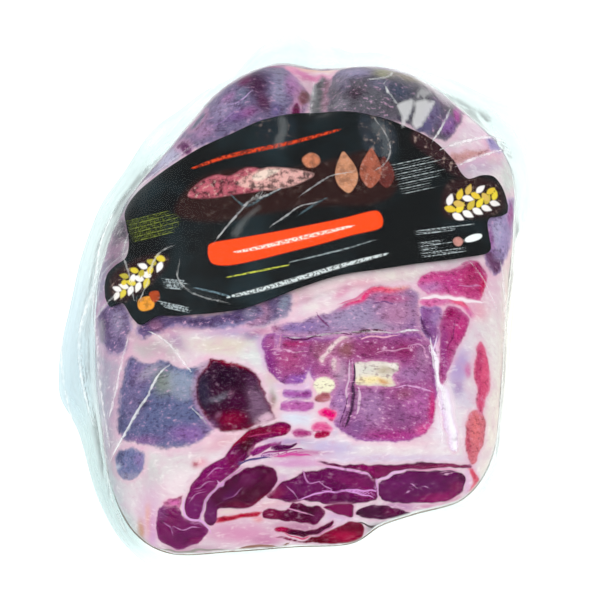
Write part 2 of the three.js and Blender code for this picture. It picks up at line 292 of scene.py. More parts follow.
def face_normals(points, quads, tris=None):
    """Each point's normal: the mean of its faces' normals, weighted by their areas."""
    total = np.zeros_like(points)
    across = np.cross(points[quads[:, 2]] - points[quads[:, 0]], points[quads[:, 3]] - points[quads[:, 1]])
    for k in range(4):
        np.add.at(total, quads[:, k], across)
    if tris is not None:
        across = np.cross(points[tris[:, 1]] - points[tris[:, 0]], points[tris[:, 2]] - points[tris[:, 0]])
        for k in range(3):
            np.add.at(total, tris[:, k], across)
    return unit(total)


def top_heights(x, y):
    """The top's height over places in plan, from the station that each lies towards."""
    turns = np.linspace(0, 1, 2401)
    around = stations_at(turns)
    bearings = np.unwrap(np.arctan2(around[:, 1] - MIDDLE[1], around[:, 0] - MIDDLE[0]))
    wanted = np.arctan2(y - MIDDLE[1], x - MIDDLE[0])
    wanted = bearings[0] + (wanted - bearings[0]) % (2 * np.pi)
    here = stations_at(np.interp(wanted, bearings, turns))
    reach = np.hypot(here[:, 0] - MIDDLE[0], here[:, 1] - MIDDLE[1])
    return top_points(np.minimum(np.hypot(x - MIDDLE[0], y - MIDDLE[1]) / reach, 1), here)[:, 2]


def over_top(x, y, lift):
    """Points at a lift over the top, measured square to it."""
    step = 0.5
    slope_x = (top_heights(x + step, y) - top_heights(x - step, y)) / (2 * step)
    slope_y = (top_heights(x, y + step) - top_heights(x, y - step)) / (2 * step)
    normal = unit(np.column_stack([-slope_x, -slope_y, np.ones_like(x)]))
    return np.column_stack([x, y, top_heights(x, y)]) + normal * lift


# Places in the photograph's frame

def picture(points):
    """Where points land in the picture, in its pixels, by the camera's perspective."""
    seen = points - AIM
    scale = CAMERA_DISTANCE / PIXEL_MM / (CAMERA_DISTANCE - seen @ TOWARD_CAMERA)
    return np.column_stack([AIM_PIXEL[0] + seen[:, 0] * scale, AIM_PIXEL[1] - (seen @ PICTURE_UP) * scale])


def near_places(places, line, reach):
    low, high = line.min(0) - reach, line.max(0) + reach
    return np.flatnonzero(((places > low) & (places < high)).all(1))


def inside_distance(places, outline, reach=14.0, steps=6):
    """How far inside a smooth closed outline each place lies, less than 0 outside, down to
    -reach: the distance to the nearest side, signed by an even-odd count of crossings."""
    line = along_curve(outline, np.arange(len(outline) * steps) / (len(outline) * steps), closed=True)
    result = np.full(len(places), -reach)
    near = near_places(places, line, reach)
    p = places[near]
    least = np.full(len(p), reach ** 2 * 9)
    inside = np.zeros(len(p), bool)
    for a, b in zip(line, np.roll(line, -1, 0)):
        side = b - a
        t = np.clip(((p - a) @ side) / max(side @ side, 1e-9), 0, 1)
        least = np.minimum(least, ((p - a - t[:, None] * side) ** 2).sum(1))
        if a[1] != b[1]:
            level = (a[1] > p[:, 1]) != (b[1] > p[:, 1])
            inside ^= level & (p[:, 0] < a[0] + (p[:, 1] - a[1]) * side[0] / side[1])
    result[near] = np.where(inside, np.sqrt(least), -np.minimum(np.sqrt(least), reach))
    return result


def line_offset(places, line, reach, steps=5):
    """For each place its distance from a smooth open line, up to reach, the side that it lies
    on (1 or -1), and how far along the line its nearest point is, 0 to 1."""
    traced = along_curve(line, np.linspace(0, 1, (len(line) - 1) * steps + 1))
    near = near_places(places, traced, reach)
    p = places[near]
    best = np.full(len(p), reach)
    side_of = np.ones(len(p))
    share = np.zeros(len(p))
    for k in range(len(traced) - 1):
        a, side = traced[k], traced[k + 1] - traced[k]
        t = np.clip(((p - a) @ side) / max(side @ side, 1e-9), 0, 1)
        gap = p - a - t[:, None] * side
        away = np.hypot(gap[:, 0], gap[:, 1])
        closer = away < best
        best = np.where(closer, away, best)
        side_of = np.where(closer, np.where(side[0] * gap[:, 1] - side[1] * gap[:, 0] < 0, -1, 1), side_of)
        share = np.where(closer, (k + t) / (len(traced) - 1), share)
    return near, best, side_of, share


# The meat's marks, placed in the picture's pixels and laid on the form from there.
# A muscle has a layer, so that two that touch lie in different layers; how soft its edge is, in
# pixels; the colours of its core and its rim, and the rim's width; how much white marbling it
# shows; its relief in millimetres; its outline; and its tints, as soft ovals.

def drawn(points):
    """Points from words of the form x,y."""
    return np.array([point.split(",") for point in points.split()], float)


def tints(words):
    """Soft oval tints from words, with a semicolon between two: the middle, the half width and
    half height, the colour, the strength and, where it is turned, its turn in degrees."""
    made = []
    for part in filter(None, words.split(";")):
        middle, half, colour, strength, *turn = part.split()
        x, y = map(float, middle.split(","))
        half_x, half_y = map(float, half.split(","))
        made.append((x, y, half_x, half_y, float(turn[0]) if turn else 0.0, colour, float(strength)))
    return made


def table(leading, text):
    """Rows from lines of words: so many leading numbers or colours, then points. A line that
    starts with a point carries on the line above it."""
    lines = []
    for line in text.strip().splitlines():
        if "," in line.split()[0]:
            lines[-1] += " " + line
        else:
            lines.append(line)
    made = []
    for words in map(str.split, lines):
        head = [word if word.startswith("#") else float(word) for word in words[:leading]]
        made.append((*head, drawn(" ".join(words[leading:]))))
    return made


def muscle(layer, soft, core, rim, rim_width, marbling, relief, outline, tint_words=""):
    outline = drawn(outline) if isinstance(outline, str) else outline
    return dict(layer=layer, soft=soft, core=core, rim=rim, rim_width=rim_width, marbling=marbling,
                relief=relief, outline=outline, tints=tints(tint_words))


CUT_MUSCLES = [
    # the round muscle at the left end, and its tongue
    muscle(0, 0.9, "#701c58", "#7c3068", 4, 0.28, 0.5,
        "161,507 166,502 172,501 177,504 179,510 182,516 188,520 196,521 203,524 208,529 206,535 201,541 "
        "193,546 183,548 173,547 165,544 160,539 157,531 157,521 158,513",
        "186,536 14,8 #5c1850 0.6; 170,518 8,10 #7a2058 0.6; 162,512 5,8 #7c4478 0.6; "
        "196,540 8,4 #8a2058 0.5"),
    muscle(1, 0.9, "#b0588c", "#c07c9c", 3, 0.2, 0.2,
        "163,503 169,499 176,497 182,495 181,501 178,508 175,505 169,505",
        "180,497 3,3 #8c5060 0.8; 174,502 4,3 #d870b0 0.7"),
    # the strip that climbs from it to the upper edge
    muscle(1, 0.9, "#761a5c", "#641448", 3, 0.36, 0.4,
        "186,517 184,510 185,501 189,490 194,480 202,470 213,463 222,457 230,449 236,441 243,434 252,429 "
        "266,425 281,422 292,427 288,433 274,437 260,442 252,451 245,460 238,467 229,475 221,483 213,491 "
        "206,499 202,508 200,518 193,520",
        "247,444 12,16 #3c0a18 0.95 30; 262,431 24,6 #74102c 0.9 -8; 241,437 6,6 #8c1838 0.8; "
        "232,462 8,8 #6a1038 0.7; 194,508 10,12 #6a1c60 0.7; 214,474 14,8 #821c64 0.7 -40; "
        "262,446 9,4 #8a1c64 0.9 -10; 284,430 8,4 #a01844 0.7"),
    # the leaf shaped muscle beside it
    muscle(2, 0.9, "#4c0430", "#620e46", 2.5, 0.2, 0.7,
        "204,519 205,509 209,499 217,490 226,481 236,473 247,467 260,464 271,467 277,473 278,481 273,489 "
        "266,496 257,503 247,508 234,509 222,508 217,512 216,520 213,525 207,524",
        "210,512 8,12 #68205c 0.9; 246,478 14,7 #6a1a54 0.7 -25; 250,493 16,5 #480428 0.9 -25; "
        "262,500 12,4 #760c30 0.9 -35; 240,505 16,3 #6a0c34 0.8; 228,494 9,5 #62185c 0.6 -40; "
        "270,477 6,7 #681848 0.6"),
    # the long muscles across the middle, and the strip that lies over them
    muscle(0, 0.9, "#641450", "#560e3e", 3, 0.3, 0.7,
        "266,497 273,491 281,483 291,479 300,473 312,472 325,469 345,467 362,472 374,476 378,486 378,498 "
        "366,501 350,504 330,504 316,502 303,500 290,502 280,499",
        "276,493 10,6 #82204c 0.9 -25; 330,497 26,5 #62124c 0.8; 352,480 20,6 #7c1c5c 0.8 10; "
        "306,484 12,7 #6a205c 0.6; 366,492 9,7 #8c1c64 0.6; 345,499 16,3 #4c0c3c 0.7"),
    muscle(1, 0.9, "#74184c", "#54103c", 3, 0.24, 0.4,
        "317,461 332,463 350,464 375,465 400,465 412,463 425,461 442,462 458,464 469,464 470,468 455,467 "
        "440,468 424,470 410,471 396,472 386,476 377,479 368,474 358,470 345,467 330,466",
        "440,465 26,3 #8c3058 0.8; 372,470 16,4 #8a1c60 0.8 15; 424,463 20,2 #4a0c34 0.8"),
    muscle(2, 0.9, "#601250", "#4e0a40", 3, 0.22, 0.7,
        "380,482 389,477 400,473 415,471 432,471 448,470 460,472 466,478 464,487 459,494 449,500 436,502 "
        "420,502 404,503 392,502 382,498 379,490",
        "440,497 22,5 #901c60 0.9 -6; 462,475 5,5 #480c34 0.9; 398,482 14,7 #701c64 0.6 -12; "
        "392,498 10,4 #5c1450 0.7; 456,486 7,6 #7c184c 0.8; 424,484 16,7 #5e1656 0.6"),
    # the red crescent at the right end
    muscle(0, 1.0, "#cc4c64", "#d88090", 2, 0.12, 0.2,
        "466,466 472,468 477,474 480,481 480,487 475,492 468,497 470,490 473,483 471,474",
        "475,488 4,4 #e86c84 0.8"),
    # the small muscles below
    muscle(1, 0.9, "#520632", "#6a1844", 2.5, 0.4, 0.4,
        "262,513 270,509 282,511 289,509 291,503 299,502 309,505 319,507 325,512 322,518 315,523 303,523 "
        "290,521 277,520 265,518",
        "272,514 10,5 #7c1c44 0.8; 305,509 12,5 #400828 0.8; 316,516 6,5 #6c2454 0.7"),
    muscle(2, 0.9, "#74184c", "#682044", 2, 0.28, 0.3,
        "322,507 334,504 352,504 354,511 352,518 343,516 333,512"),
    muscle(1, 0.9, "#440634", "#52123e", 3, 0.32, 0.4,
        "356,514 362,508 370,505 382,505 394,508 404,510 411,513 403,516 394,519 380,519 366,518",
        "360,514 5,4 #2c0820 0.8; 392,512 8,4 #6c1448 0.6"),
    muscle(0, 0.9, "#4a0c30", "#6a1438", 2, 0.16, 0.4,
        "274,529 282,527 294,528 306,531 318,527 328,522 334,521 330,527 321,533 310,537 296,535 283,533",
        "280,529 7,4 #b0184c 0.9; 300,532 12,3 #3c0828 0.7"),
    muscle(2, 0.9, "#680826", "#7c1434", 2.5, 0.24, 0.4,
        "276,537 288,538 300,540 314,538 325,533 336,527 348,523 359,523 364,529 362,536 354,542 340,544 "
        "322,543 304,542 288,541",
        "292,540 14,3 #7c1448 0.8; 344,536 15,6 #a82448 0.9; 350,526 10,4 #6c1c34 0.7; "
        "312,540 14,3 #58041c 0.8"),
    muscle(0, 1.0, "#a82038", "#c86478", 1.5, 0.12, 0.0,
        "214,517 226,516 240,514 254,511 262,513 250,517 238,519 226,521 216,523"),
    # purple wedges and streaks in the fat under the upper edge
    muscle(2, 0.9, "#84206c", "#94407c", 1.5, 0.2, 0.2,
        "249,452 258,447 270,443 282,440 270,447 260,452 252,456"),
    muscle(2, 0.8, "#4c0c40", "#64245c", 1.0, 0.12, 0.1, "271,449 278,444 288,444 299,442 290,448 280,450"),
]

TOP_MUSCLES = [
    # the grey violet muscle, its grey violet partly its own colour and partly a painted reflection of the
    # film's veil, and the dark red one beside it
    muscle(0, 2.4, "#60648a", "#747292", 5, 0.7, 0.6,
        "129,358 140,362 152,363 162,359 174,364 186,369 198,366 210,361 215,380 214,410 216,428 205,437 "
        "192,444 176,448 160,447 144,444 130,441 121,436 117,424 119,402 123,380",
        "164,382 12,14 #808880 0.9; 184,380 14,16 #6c7c9c 0.9; 140,376 12,14 #7c6490 0.8; "
        "190,434 22,9 #86629c 0.95; 134,402 12,24 #72668c 0.8; 172,412 22,10 #62688c 0.8; "
        "145,440 18,5 #845c90 0.7; 150,372 14,6 #a49cac 0.7 -30; 204,366 8,7 #a8a0b0 0.8; "
        "206,426 9,9 #7c6c94 0.7; 144,404 4,6 #34304c 0.8 30; 120,424 4,12 #4c4c6c 0.6 10"),
    muscle(1, 1.6, "#340c2a", "#701030", 4, 0.35, 0.8,
        "210,358 220,360 232,363 244,366 252,371 259,379 264,389 267,399 272,409 275,418 266,421 255,425 "
        "243,430 230,431 220,430 211,423 204,414 199,404 196,392 197,380 203,370 208,364",
        "224,378 16,10 #240a24 0.9; 203,392 8,20 #302840 0.95; 232,420 16,9 #7c0c34 0.95; "
        "258,404 11,20 #7c5c78 0.9 -15; 252,380 6,8 #4c2448 0.7; 218,398 10,3 #7c7888 0.7 -20; "
        "232,394 3,2 #8c5c78 0.8; 218,415 3,3 #8c5c7c 0.7; 212,424 9,5 #6c4c74 0.8 30; "
        "266,418 10,4 #d8b4c8 0.9 -20; 238,402 10,8 #440c34 0.8; 232,363 18,3 #8c1430 0.8 12"),
    muscle(2, 1.6, "#70749c", "#8484a4", 4, 0.5, 0.3,
        "122,449 132,448 142,451 145,459 143,468 138,476 128,479 119,474 116,463 117,454",
        "120,456 3,8 #4c5070 0.8; 140,460 5,8 #8c74a8 0.7; 116,466 5,3 #c8ccdc 0.8; "
        "130,475 9,3 #a49cb0 0.6"),
    # the large muscle in the middle: its upper band, its body and its lower block
    muscle(0, 2.0, "#96749c", "#a486a8", 4, 1.1, 0.5,
        "270,328 285,324 300,321 316,315 330,312 344,304 356,299 366,290 378,286 392,287 406,287 416,292 "
        "419,304 420,318 425,330 432,338 410,338 380,338 345,338 310,340 284,338",
        "300,328 24,7 #8870a4 0.9 -5; 352,318 28,12 #9c8cac 0.9 -14; 360,298 20,4 #dc3c74 0.95 -28; "
        "384,290 18,4 #e85c78 0.9 2; 400,287 12,3 #e89888 0.7; 396,314 18,13 #b07ca0 0.9; "
        "412,330 9,7 #8c5c94 0.7; 376,328 14,6 #a89cb0 0.6; 390,299 18,4 #b8487c 0.7; "
        "276,328 6,3 #7c2c58 0.7"),
    muscle(1, 1.5, "#9a5088", "#945898", 6, 1.2, 0.7,
        "262,339 272,333 290,336 320,338 350,335 385,335 415,334 432,341 435,352 436,372 437,392 434,412 "
        "434,422 426,432 412,439 395,442 370,441 355,439 343,432 334,421 330,408 329,394 316,390 313,380 "
        "309,371 304,381 292,384 280,382 272,373 266,361 262,350",
        "270,362 7,16 #7c2c78 0.9 -15; 290,360 14,13 #a44c7c 0.95; 292,344 18,4 #a83468 0.8; "
        "322,352 12,12 #8c5068 0.8; 322,372 9,7 #a05488 0.8; 346,350 10,9 #8c5c58 0.8; "
        "372,350 20,10 #8c3c68 0.85; 404,352 12,9 #903468 0.95; 424,358 9,14 #a07098 0.85; "
        "408,375 18,8 #a878a8 0.85; 340,374 8,14 #ac8ca4 0.9; 340,405 9,22 #a47cac 0.85; "
        "370,408 18,20 #9c74a0 0.85; 400,414 14,14 #845080 0.85; 416,404 14,14 #b468a4 0.8; "
        "404,395 9,6 #94546c 0.7; 395,436 26,5 #a83c84 0.9; 356,428 10,9 #7c5488 0.8; "
        "432,410 4,18 #cc3c78 0.9; 424,429 10,5 #d85c98 0.9 -25; 300,379 14,4 #8c5cac 0.8; "
        "278,343 4,9 #b084b4 0.7"),
    # purple bars and blood spots in the fat to its left
    muscle(2, 1.3, "#a058a0", "#b890c0", 3, 0.8, 0.3,
        "282,391 296,390 309,388 312,393 309,398 298,399 284,398",
        "304,394 7,4 #8c3c84 0.8"),
    muscle(2, 1.3, "#b060a0", "#c090bc", 2, 0.8, 0.3, "281,403 296,401 313,402 314,408 306,411 284,411"),
    muscle(2, 1.2, "#d82870", "#e078a4", 3, 0.3, 0.2,
        "318,410 325,407 334,410 336,416 330,420 323,416",
        "320,410 3,3 #ec7ca8 0.8"),
    muscle(3, 1.0, "#d0588c", "#dc90b0", 3, 0.3, 0.2, "312,424 320,421 331,425 332,430 324,432 314,430"),
    muscle(3, 1.0, "#94103c", "#b04068", 2, 0.3, 0.2, "314,434 320,431 328,431 329,436 321,439 314,438"),
    muscle(3, 1.2, "#a03c74", "#c080a8", 2, 0.5, 0.1, "292,431 300,429 311,431 311,435 303,437 294,435"),
    muscle(3, 1.2, "#a46068", "#b48088", 2, 0.4, 0.1, "315,395 322,392 330,394 329,400 321,402 315,400"),
    # the muscles on the right
    muscle(2, 1.3, "#c04c88", "#cc6c9c", 4, 0.7, 0.8,
        "417,285 421,278 431,272 443,270 456,268 464,262 472,260 480,264 486,271 488,281 484,292 479,300 "
        "466,298 450,295 438,294 425,294",
        "430,288 14,6 #b07cb0 0.8; 428,278 9,7 #d05894 0.6; 472,280 14,16 #ac3c6c 0.95; "
        "474,268 8,8 #a42c60 0.8; 484,288 5,10 #c42c58 0.8; 460,266 12,3 #d490b0 0.7 -20; "
        "450,284 10,8 #b44488 0.6"),
    muscle(3, 2.0, "#6c4468", "#9478a0", 4, 1.0, 0.2,
        "483,256 490,249 500,250 505,258 501,270 495,275 489,268",
        "500,256 6,6 #9088b0 0.7"),
    muscle(0, 1.8, "#c8649c", "#d88cb0", 3, 0.5, 0.2,
        "419,300 430,298 445,298 458,299 468,304 473,313 470,318 462,308 448,304 434,308 424,306",
        "460,302 12,4 #e0607c 0.9 20; 428,304 9,4 #cc4890 0.8"),
    muscle(2, 1.6, "#86508c", "#a07cb0", 4, 0.8, 0.3,
        "420,308 430,306 440,308 443,320 441,334 435,344 427,338 421,326",
        "426,330 4,10 #542c5c 0.7 -30; 436,318 6,8 #a484b4 0.7"),
    muscle(3, 1.2, "#a8447c", "#b46894", 4, 0.8, 0.7,
        "444,309 453,307 462,311 469,319 468,328 463,338 457,350 451,364 446,380 442,385 439,375 439,358 "
        "440,342 440,326",
        "450,314 8,6 #941c58 0.8; 460,330 7,14 #bc3c7c 0.8 20; 443,350 4,26 #8c3c7c 0.85; "
        "448,372 4,10 #b464a0 0.7"),
    muscle(3, 1.1, "#cc5478", "#d8809c", 3, 0.5, 0.5,
        "481,341 485,347 488,360 490,376 489,391 485,402 483,412 478,412 476,400 475,384 474,368 476,352",
        "478,366 3,26 #b84470 0.7; 484,372 4,16 #e06488 0.6"),
    muscle(2, 1.2, "#cc707c", "#cc7c88", 3, 0.6, 0.5,
        "474,409 482,411 485,424 484,438 481,451 476,461 470,464 467,452 465,440 466,426 469,415",
        "475,428 4,14 #e07c80 0.8; 468,442 3,14 #b44060 0.7"),
]

FAR_MUSCLES = [
    # dark meat that shows below the label's near edge and at the left flank
    muscle(3, 2.6, "#5c4a74", "#8c7ca4", 4, 1.2, 0.3,
        "136,328 148,318 160,314 180,316 205,316 228,311 240,306 252,302 262,308 262,316 250,322 236,326 "
        "215,328 190,327 170,327 158,334 146,338 138,336",
        "156,326 8,6 #8c6080 0.9 20; 228,326 20,4 #8c84ac 0.9 -6; 196,322 14,4 #4c3c60 0.8; "
        "250,312 8,8 #8c84a0 0.8"),
    muscle(2, 2.8, "#6c5c80", "#a898b0", 4, 1.2, 0.3,
        "246,324 252,310 262,300 274,294 286,292 292,298 291,310 284,318 272,323 258,328",
        "284,304 5,12 #8c94a8 0.8 15; 266,306 8,6 #584870 0.8"),
    muscle(3, 3.0, "#78688c", "#a494b0", 4, 1.2, 0.4,
        "97,318 104,306 114,300 124,304 130,314 132,328 128,340 124,352 116,356 106,350 99,340",
        "104,326 5,14 #543c64 0.9; 118,322 6,10 #9c90ac 0.8; 112,344 10,5 #5c5078 0.8"),
    # the left lump, its dark patch and the small marks beside the label
    muscle(0, 2.4, "#6c6282", "#86789c", 5, 0.6, 0.5,
        "140,180 150,164 162,148 174,134 184,121 194,108 204,96 216,84 228,74 242,65 254,60 264,58 "
        "273,60 284,66 296,78 305,88 309,100 305,112 290,118 268,121 248,127 230,135 212,143 194,150 "
        "176,160 160,172",
        "256,84 12,14 #3c1838 0.95 20; 264,102 8,12 #4c2040 0.9 -20; 244,80 8,6 #6c2c54 0.8 -40; "
        "279,90 8,20 #8a86a0 0.9; 294,84 9,12 #b47cb0 0.8; 274,66 9,3 #b8588c 0.9; "
        "242,95 8,7 #6c7088 0.8; 228,98 9,4 #a874a4 0.6 -40; 240,116 16,5 #7c5890 0.8 -15; "
        "206,133 12,6 #a884a8 0.8 -30; 222,110 12,7 #9c8cac 0.7 -35; 168,162 20,8 #b8b4cc 0.9 -38; "
        "250,112 8,5 #a05c90 0.6; 276,110 5,8 #5c4c80 0.7"),
    muscle(1, 1.6, "#5c2c58", "#7a4c74", 2, 0.5, 0.2, "178,147 183,143 189,144 191,149 190,154 184,153"),
    muscle(1, 1.6, "#5a5c72", "#75788c", 2, 0.5, 0.1, "191,131 195,124 201,117 206,113 203,120 198,127"),
    muscle(1, 1.6, "#74404c", "#8c6470", 3, 0.5, 0.2,
        "297,99 299,93 304,91 309,95 310,101 306,105 300,105"),
    muscle(2, 1.2, "#5c1c40", "#84406c", 2, 0.3, 0.2, "291,115 292,108 296,103 299,107 299,115 295,118"),
    # the valley and the right lump
    muscle(1, 2.2, "#646468", "#84848c", 4, 0.6, 0.2,
        "310,112 311,98 314,86 320,80 327,79 332,84 333,98 331,112 320,115",
        "326,88 2,8 #44343c 0.9; 314,92 3,10 #a4a8ac 0.8; 320,104 3,9 #6c6c70 0.7"),
    muscle(2, 2.0, "#58545e", "#706878", 5, 0.8, 0.5,
        "329,112 328,96 331,82 340,70 352,62 368,60 385,60 400,62 413,67 425,74 438,82 448,92 457,102 "
        "463,113 461,123 454,132 446,141 437,140 424,133 408,126 390,120 368,116 346,113",
        "357,94 9,7 #382434 0.95; 356,74 22,5 #9088a8 0.9 -6; 384,73 11,6 #8c8c6c 0.9; "
        "408,77 18,4 #7c7058 0.9 18; 342,84 9,8 #746c84 0.7; 398,92 14,9 #444c60 0.9 20; "
        "372,100 16,10 #5c5c64 0.8; 404,118 5,12 #4c4c64 0.8 20; 430,118 9,18 #74688e 0.9 25; "
        "424,128 8,6 #50507c 0.6; 448,126 8,10 #8c60a0 0.9 25; 457,115 4,8 #b0449c 0.9; "
        "444,100 9,6 #804c78 0.8 40; 432,88 9,4 #8c5878 0.8 35; 340,104 8,8 #807c88 0.7; "
        "380,84 12,5 #6c6c84 0.6"),
    # pink and purple marks on the shoulder to the right of the label
    muscle(1, 2.4, "#9488b8", "#b4a4cc", 3, 0.5, 0.1, "487,139 494,139 501,145 504,152 498,153 490,148"),
    muscle(0, 2.2, "#c49494", "#d0a8ac", 3, 0.6, 0.1,
        "449,155 462,152 478,150 490,148 488,153 474,158 460,163 452,162"),
    muscle(3, 2.4, "#a090b8", "#b8a4c8", 4, 1.0, 0.1,
        "482,214 490,212 498,213 505,206 510,198 515,200 516,212 514,230 511,246 506,258 498,268 490,264 "
        "484,252 484,236",
        "490,240 4,14 #9c5c98 0.8; 498,232 5,12 #b8b0d0 0.7; 511,214 3,14 #985088 0.9; "
        "494,256 7,8 #7c5c88 0.8"),
]

# The fat round them, as soft tints laid one over another, in the same form as a muscle's; the dark grey
# tints at 400,524 and 430,515, under the cut face's lower right edge, are painted shadow where the meat
# stands off the table
FAT_GROUND = "#e6dce0"
FAT_UNDER_FILM = np.array([0.85, 0.815, 0.845, 1.0])
FAT_TINTS = tints("""
    503,360 22,220 #f0ece4 0.9; 500,430 20,50 #f2ead8 0.6; 108,350 20,120 #a8a2b4 0.9;
    114,250 13,46 #746478 0.92 10; 123,231 8,13 #4e4a54 0.9; 102,300 7,60 #9894aa 0.85;
    120,345 10,8 #8884a4 0.8; 110,338 7,5 #4c3860 0.9; 106,400 8,50 #aeaabb 0.8;
    96,430 8,46 #c6d2d6 0.95 3; 126,330 9,14 #b4a8b4 0.7; 155,344 32,20 #beb2b4 0.95;
    165,470 50,26 #dcd6d6 0.95; 152,478 10,22 #ccd0cc 0.7; 175,488 26,14 #ecdce0 0.9 -40;
    150,515 12,34 #dcb4d0 0.8; 220,442 24,8 #e0b0bc 0.9 -20; 204,440 10,8 #ecdcdc 0.8;
    196,450 8,12 #d8c4cc 0.7; 200,463 8,5 #e498ac 0.8; 196,464 3,3 #a04858 0.9;
    228,346 40,10 #dcd2c2 0.95 4; 252,356 12,14 #dce4e0 0.9 40; 264,352 5,22 #b0a0dc 0.7 -20;
    272,378 8,10 #d8ccc0 0.8; 272,402 4,11 #6c5c3c 0.9; 276,412 5,12 #e8d4cc 0.8;
    295,386 18,4 #d0c4ec 0.9; 296,418 18,9 #dce4f0 0.95; 310,372 4,8 #dcc8ec 0.8;
    326,386 10,7 #e6e2c4 0.95; 320,420 10,10 #ecd8e0 0.7; 334,428 6,9 #c8c0d8 0.8;
    195,322 36,7 #54406c 0.9 -2; 225,322 26,6 #5c4880 0.9 -4; 236,330 34,6 #a49cc4 0.8 -6;
    252,336 12,5 #8474a0 0.8; 158,325 12,7 #b87c94 0.9 20; 176,340 14,6 #b494b4 0.8 40;
    152,336 20,3 #ece8e4 0.9 35; 182,358 10,3 #ece8e4 0.9 55; 260,322 14,8 #c4ccc8 0.8;
    262,332 12,4 #a86488 0.8 -6; 270,306 14,9 #5c4c74 0.8 -10; 286,304 4,12 #8c94a8 0.8 15;
    297,296 3,16 #f0e0d4 0.9 15; 306,296 8,10 #d8a8bc 0.8; 320,306 18,6 #ece4e0 0.9 -10;
    355,282 60,9 #ecd4d6 0.95 -10; 362,283 14,5 #eab4c4 0.8 -8; 342,292 12,5 #dc94b4 0.8 -40;
    400,276 24,7 #f0eae0 0.9 -6; 436,302 16,4 #d87ca8 0.8 5; 478,310 12,12 #ecaabc 0.85 40;
    492,285 9,26 #e8c4d4 0.85; 470,332 9,12 #e4dce0 0.9; 459,368 10,22 #b8a0d0 0.95 15;
    457,391 8,10 #a07cb4 0.9; 468,371 4,8 #d068a4 0.9; 465,400 9,10 #d8d0e0 0.8;
    444,420 14,34 #f4f0f6 0.95; 400,451 70,7 #e8dee0 0.9; 415,444 26,4 #f0d4dc 0.8 -6;
    380,458 90,4 #dccce4 0.8; 330,448 26,8 #c4b8dc 0.9; 285,441 26,4 #9c8cc0 0.9;
    292,455 24,3 #cc60a4 0.9; 296,463 28,5 #dca0d0 0.95; 262,456 14,3 #c48cc4 0.9 -15;
    310,452 18,2 #b85894 0.8 4; 338,466 20,2 #dc88c4 0.9 4; 280,482 10,6 #d8b0d8 0.8 -40;
    228,512 16,4 #ecdcd4 0.95; 268,505 20,5 #e8bcc8 0.95 -10; 240,533 40,12 #dc98bc 0.95;
    258,518 6,4 #e8787c 0.7; 300,527 26,6 #b87c9c 0.95; 268,540 16,5 #c880a8 0.9;
    190,549 40,4 #cca8bc 0.9; 140,533 4,14 #c88c68 0.95; 107,484 9,34 #d0dada 0.95 -20;
    126,524 9,20 #d0d6d4 0.95 -30; 144,545 7,5 #989478 0.8 30; 149,520 4,16 #e8b49c 0.8;
    153,530 5,20 #d49cd0 0.7; 340,516 16,7 #d4b4d4 0.95; 352,508 4,8 #c890bc 0.8;
    400,506 16,4 #b878b4 0.9; 436,506 26,3 #d890b8 0.9 -6; 456,500 10,5 #dc9cb8 0.9 -20;
    474,491 8,7 #d8a4b4 0.9 -40; 468,482 4,14 #e4c0e0 0.9; 400,524 34,5 #3c3438 0.95 -8;
    430,515 30,3 #746468 0.9 -8; 364,525 3,3 #f4ece8 0.9; 455,508 14,3 #a88c8c 0.8 -10;
    486,480 6,20 #f2eadc 0.8; 312,67 26,6 #f4ccb0 0.95 4; 302,74 16,5 #d47cb0 0.9 25;
    318,79 18,3 #d070a0 0.85; 288,70 8,4 #dc78a4 0.9 25; 474,130 26,14 #ecd8e4 0.95 20;
    472,120 9,4 #f8f0f0 0.8 20; 480,165 26,10 #ccbcd0 0.95 -10; 464,108 6,12 #e0a4c4 0.8 35;
    508,180 7,24 #d4dcd4 0.9; 494,158 8,7 #e0c8cc 0.8
""")

# The cream patch of tendon in the large muscle, and the streak that leads to it
TENDONS = [
    muscle(2, 1.0, "#dcd4cc", "#ccbcbc", 2, 0.6, -0.4,
        "354,364 370,362 388,363 398,364 398,371 392,377 394,386 378,387 360,385 355,380",
        "374,381 19,4 #ead8a4 0.95; 384,382 5,3 #c48a5c 0.9; 384,371 9,4 #a89880 0.8; "
        "366,370 8,4 #c8c8c0 0.7; 392,366 5,3 #f0e8e4 0.8"),
    muscle(2, 1.1, "#e0c8cc", "#cca8b4", 1.5, 0.5, 0.2,
        "320,357 326,352 330,345 336,340 344,336 352,338 344,341 337,345 331,352 326,357 323,364 320,362"),
    muscle(3, 1.2, "#d8bcc4", "#c4a0b0", 2, 0.6, 0.1, "331,360 335,359 338,364 337,371 333,369"),
    muscle(3, 1.4, "#e6e2c8", "#dccfc4", 2, 0.5, 0.1,
        "313,383 319,379 328,378 334,383 333,391 325,394 316,392"),
    # the white cord down the right side of the large muscle
    muscle(0, 1.1, "#ecdcf0", "#dcb4dc", 1.5, 0.2, 0.4,
        "429,347 434,341 438,336 439,348 440,366 441,382 448,390 451,404 455,424 458,446 452,450 446,432 "
        "440,410 436,392 434,372 431,356"),
]
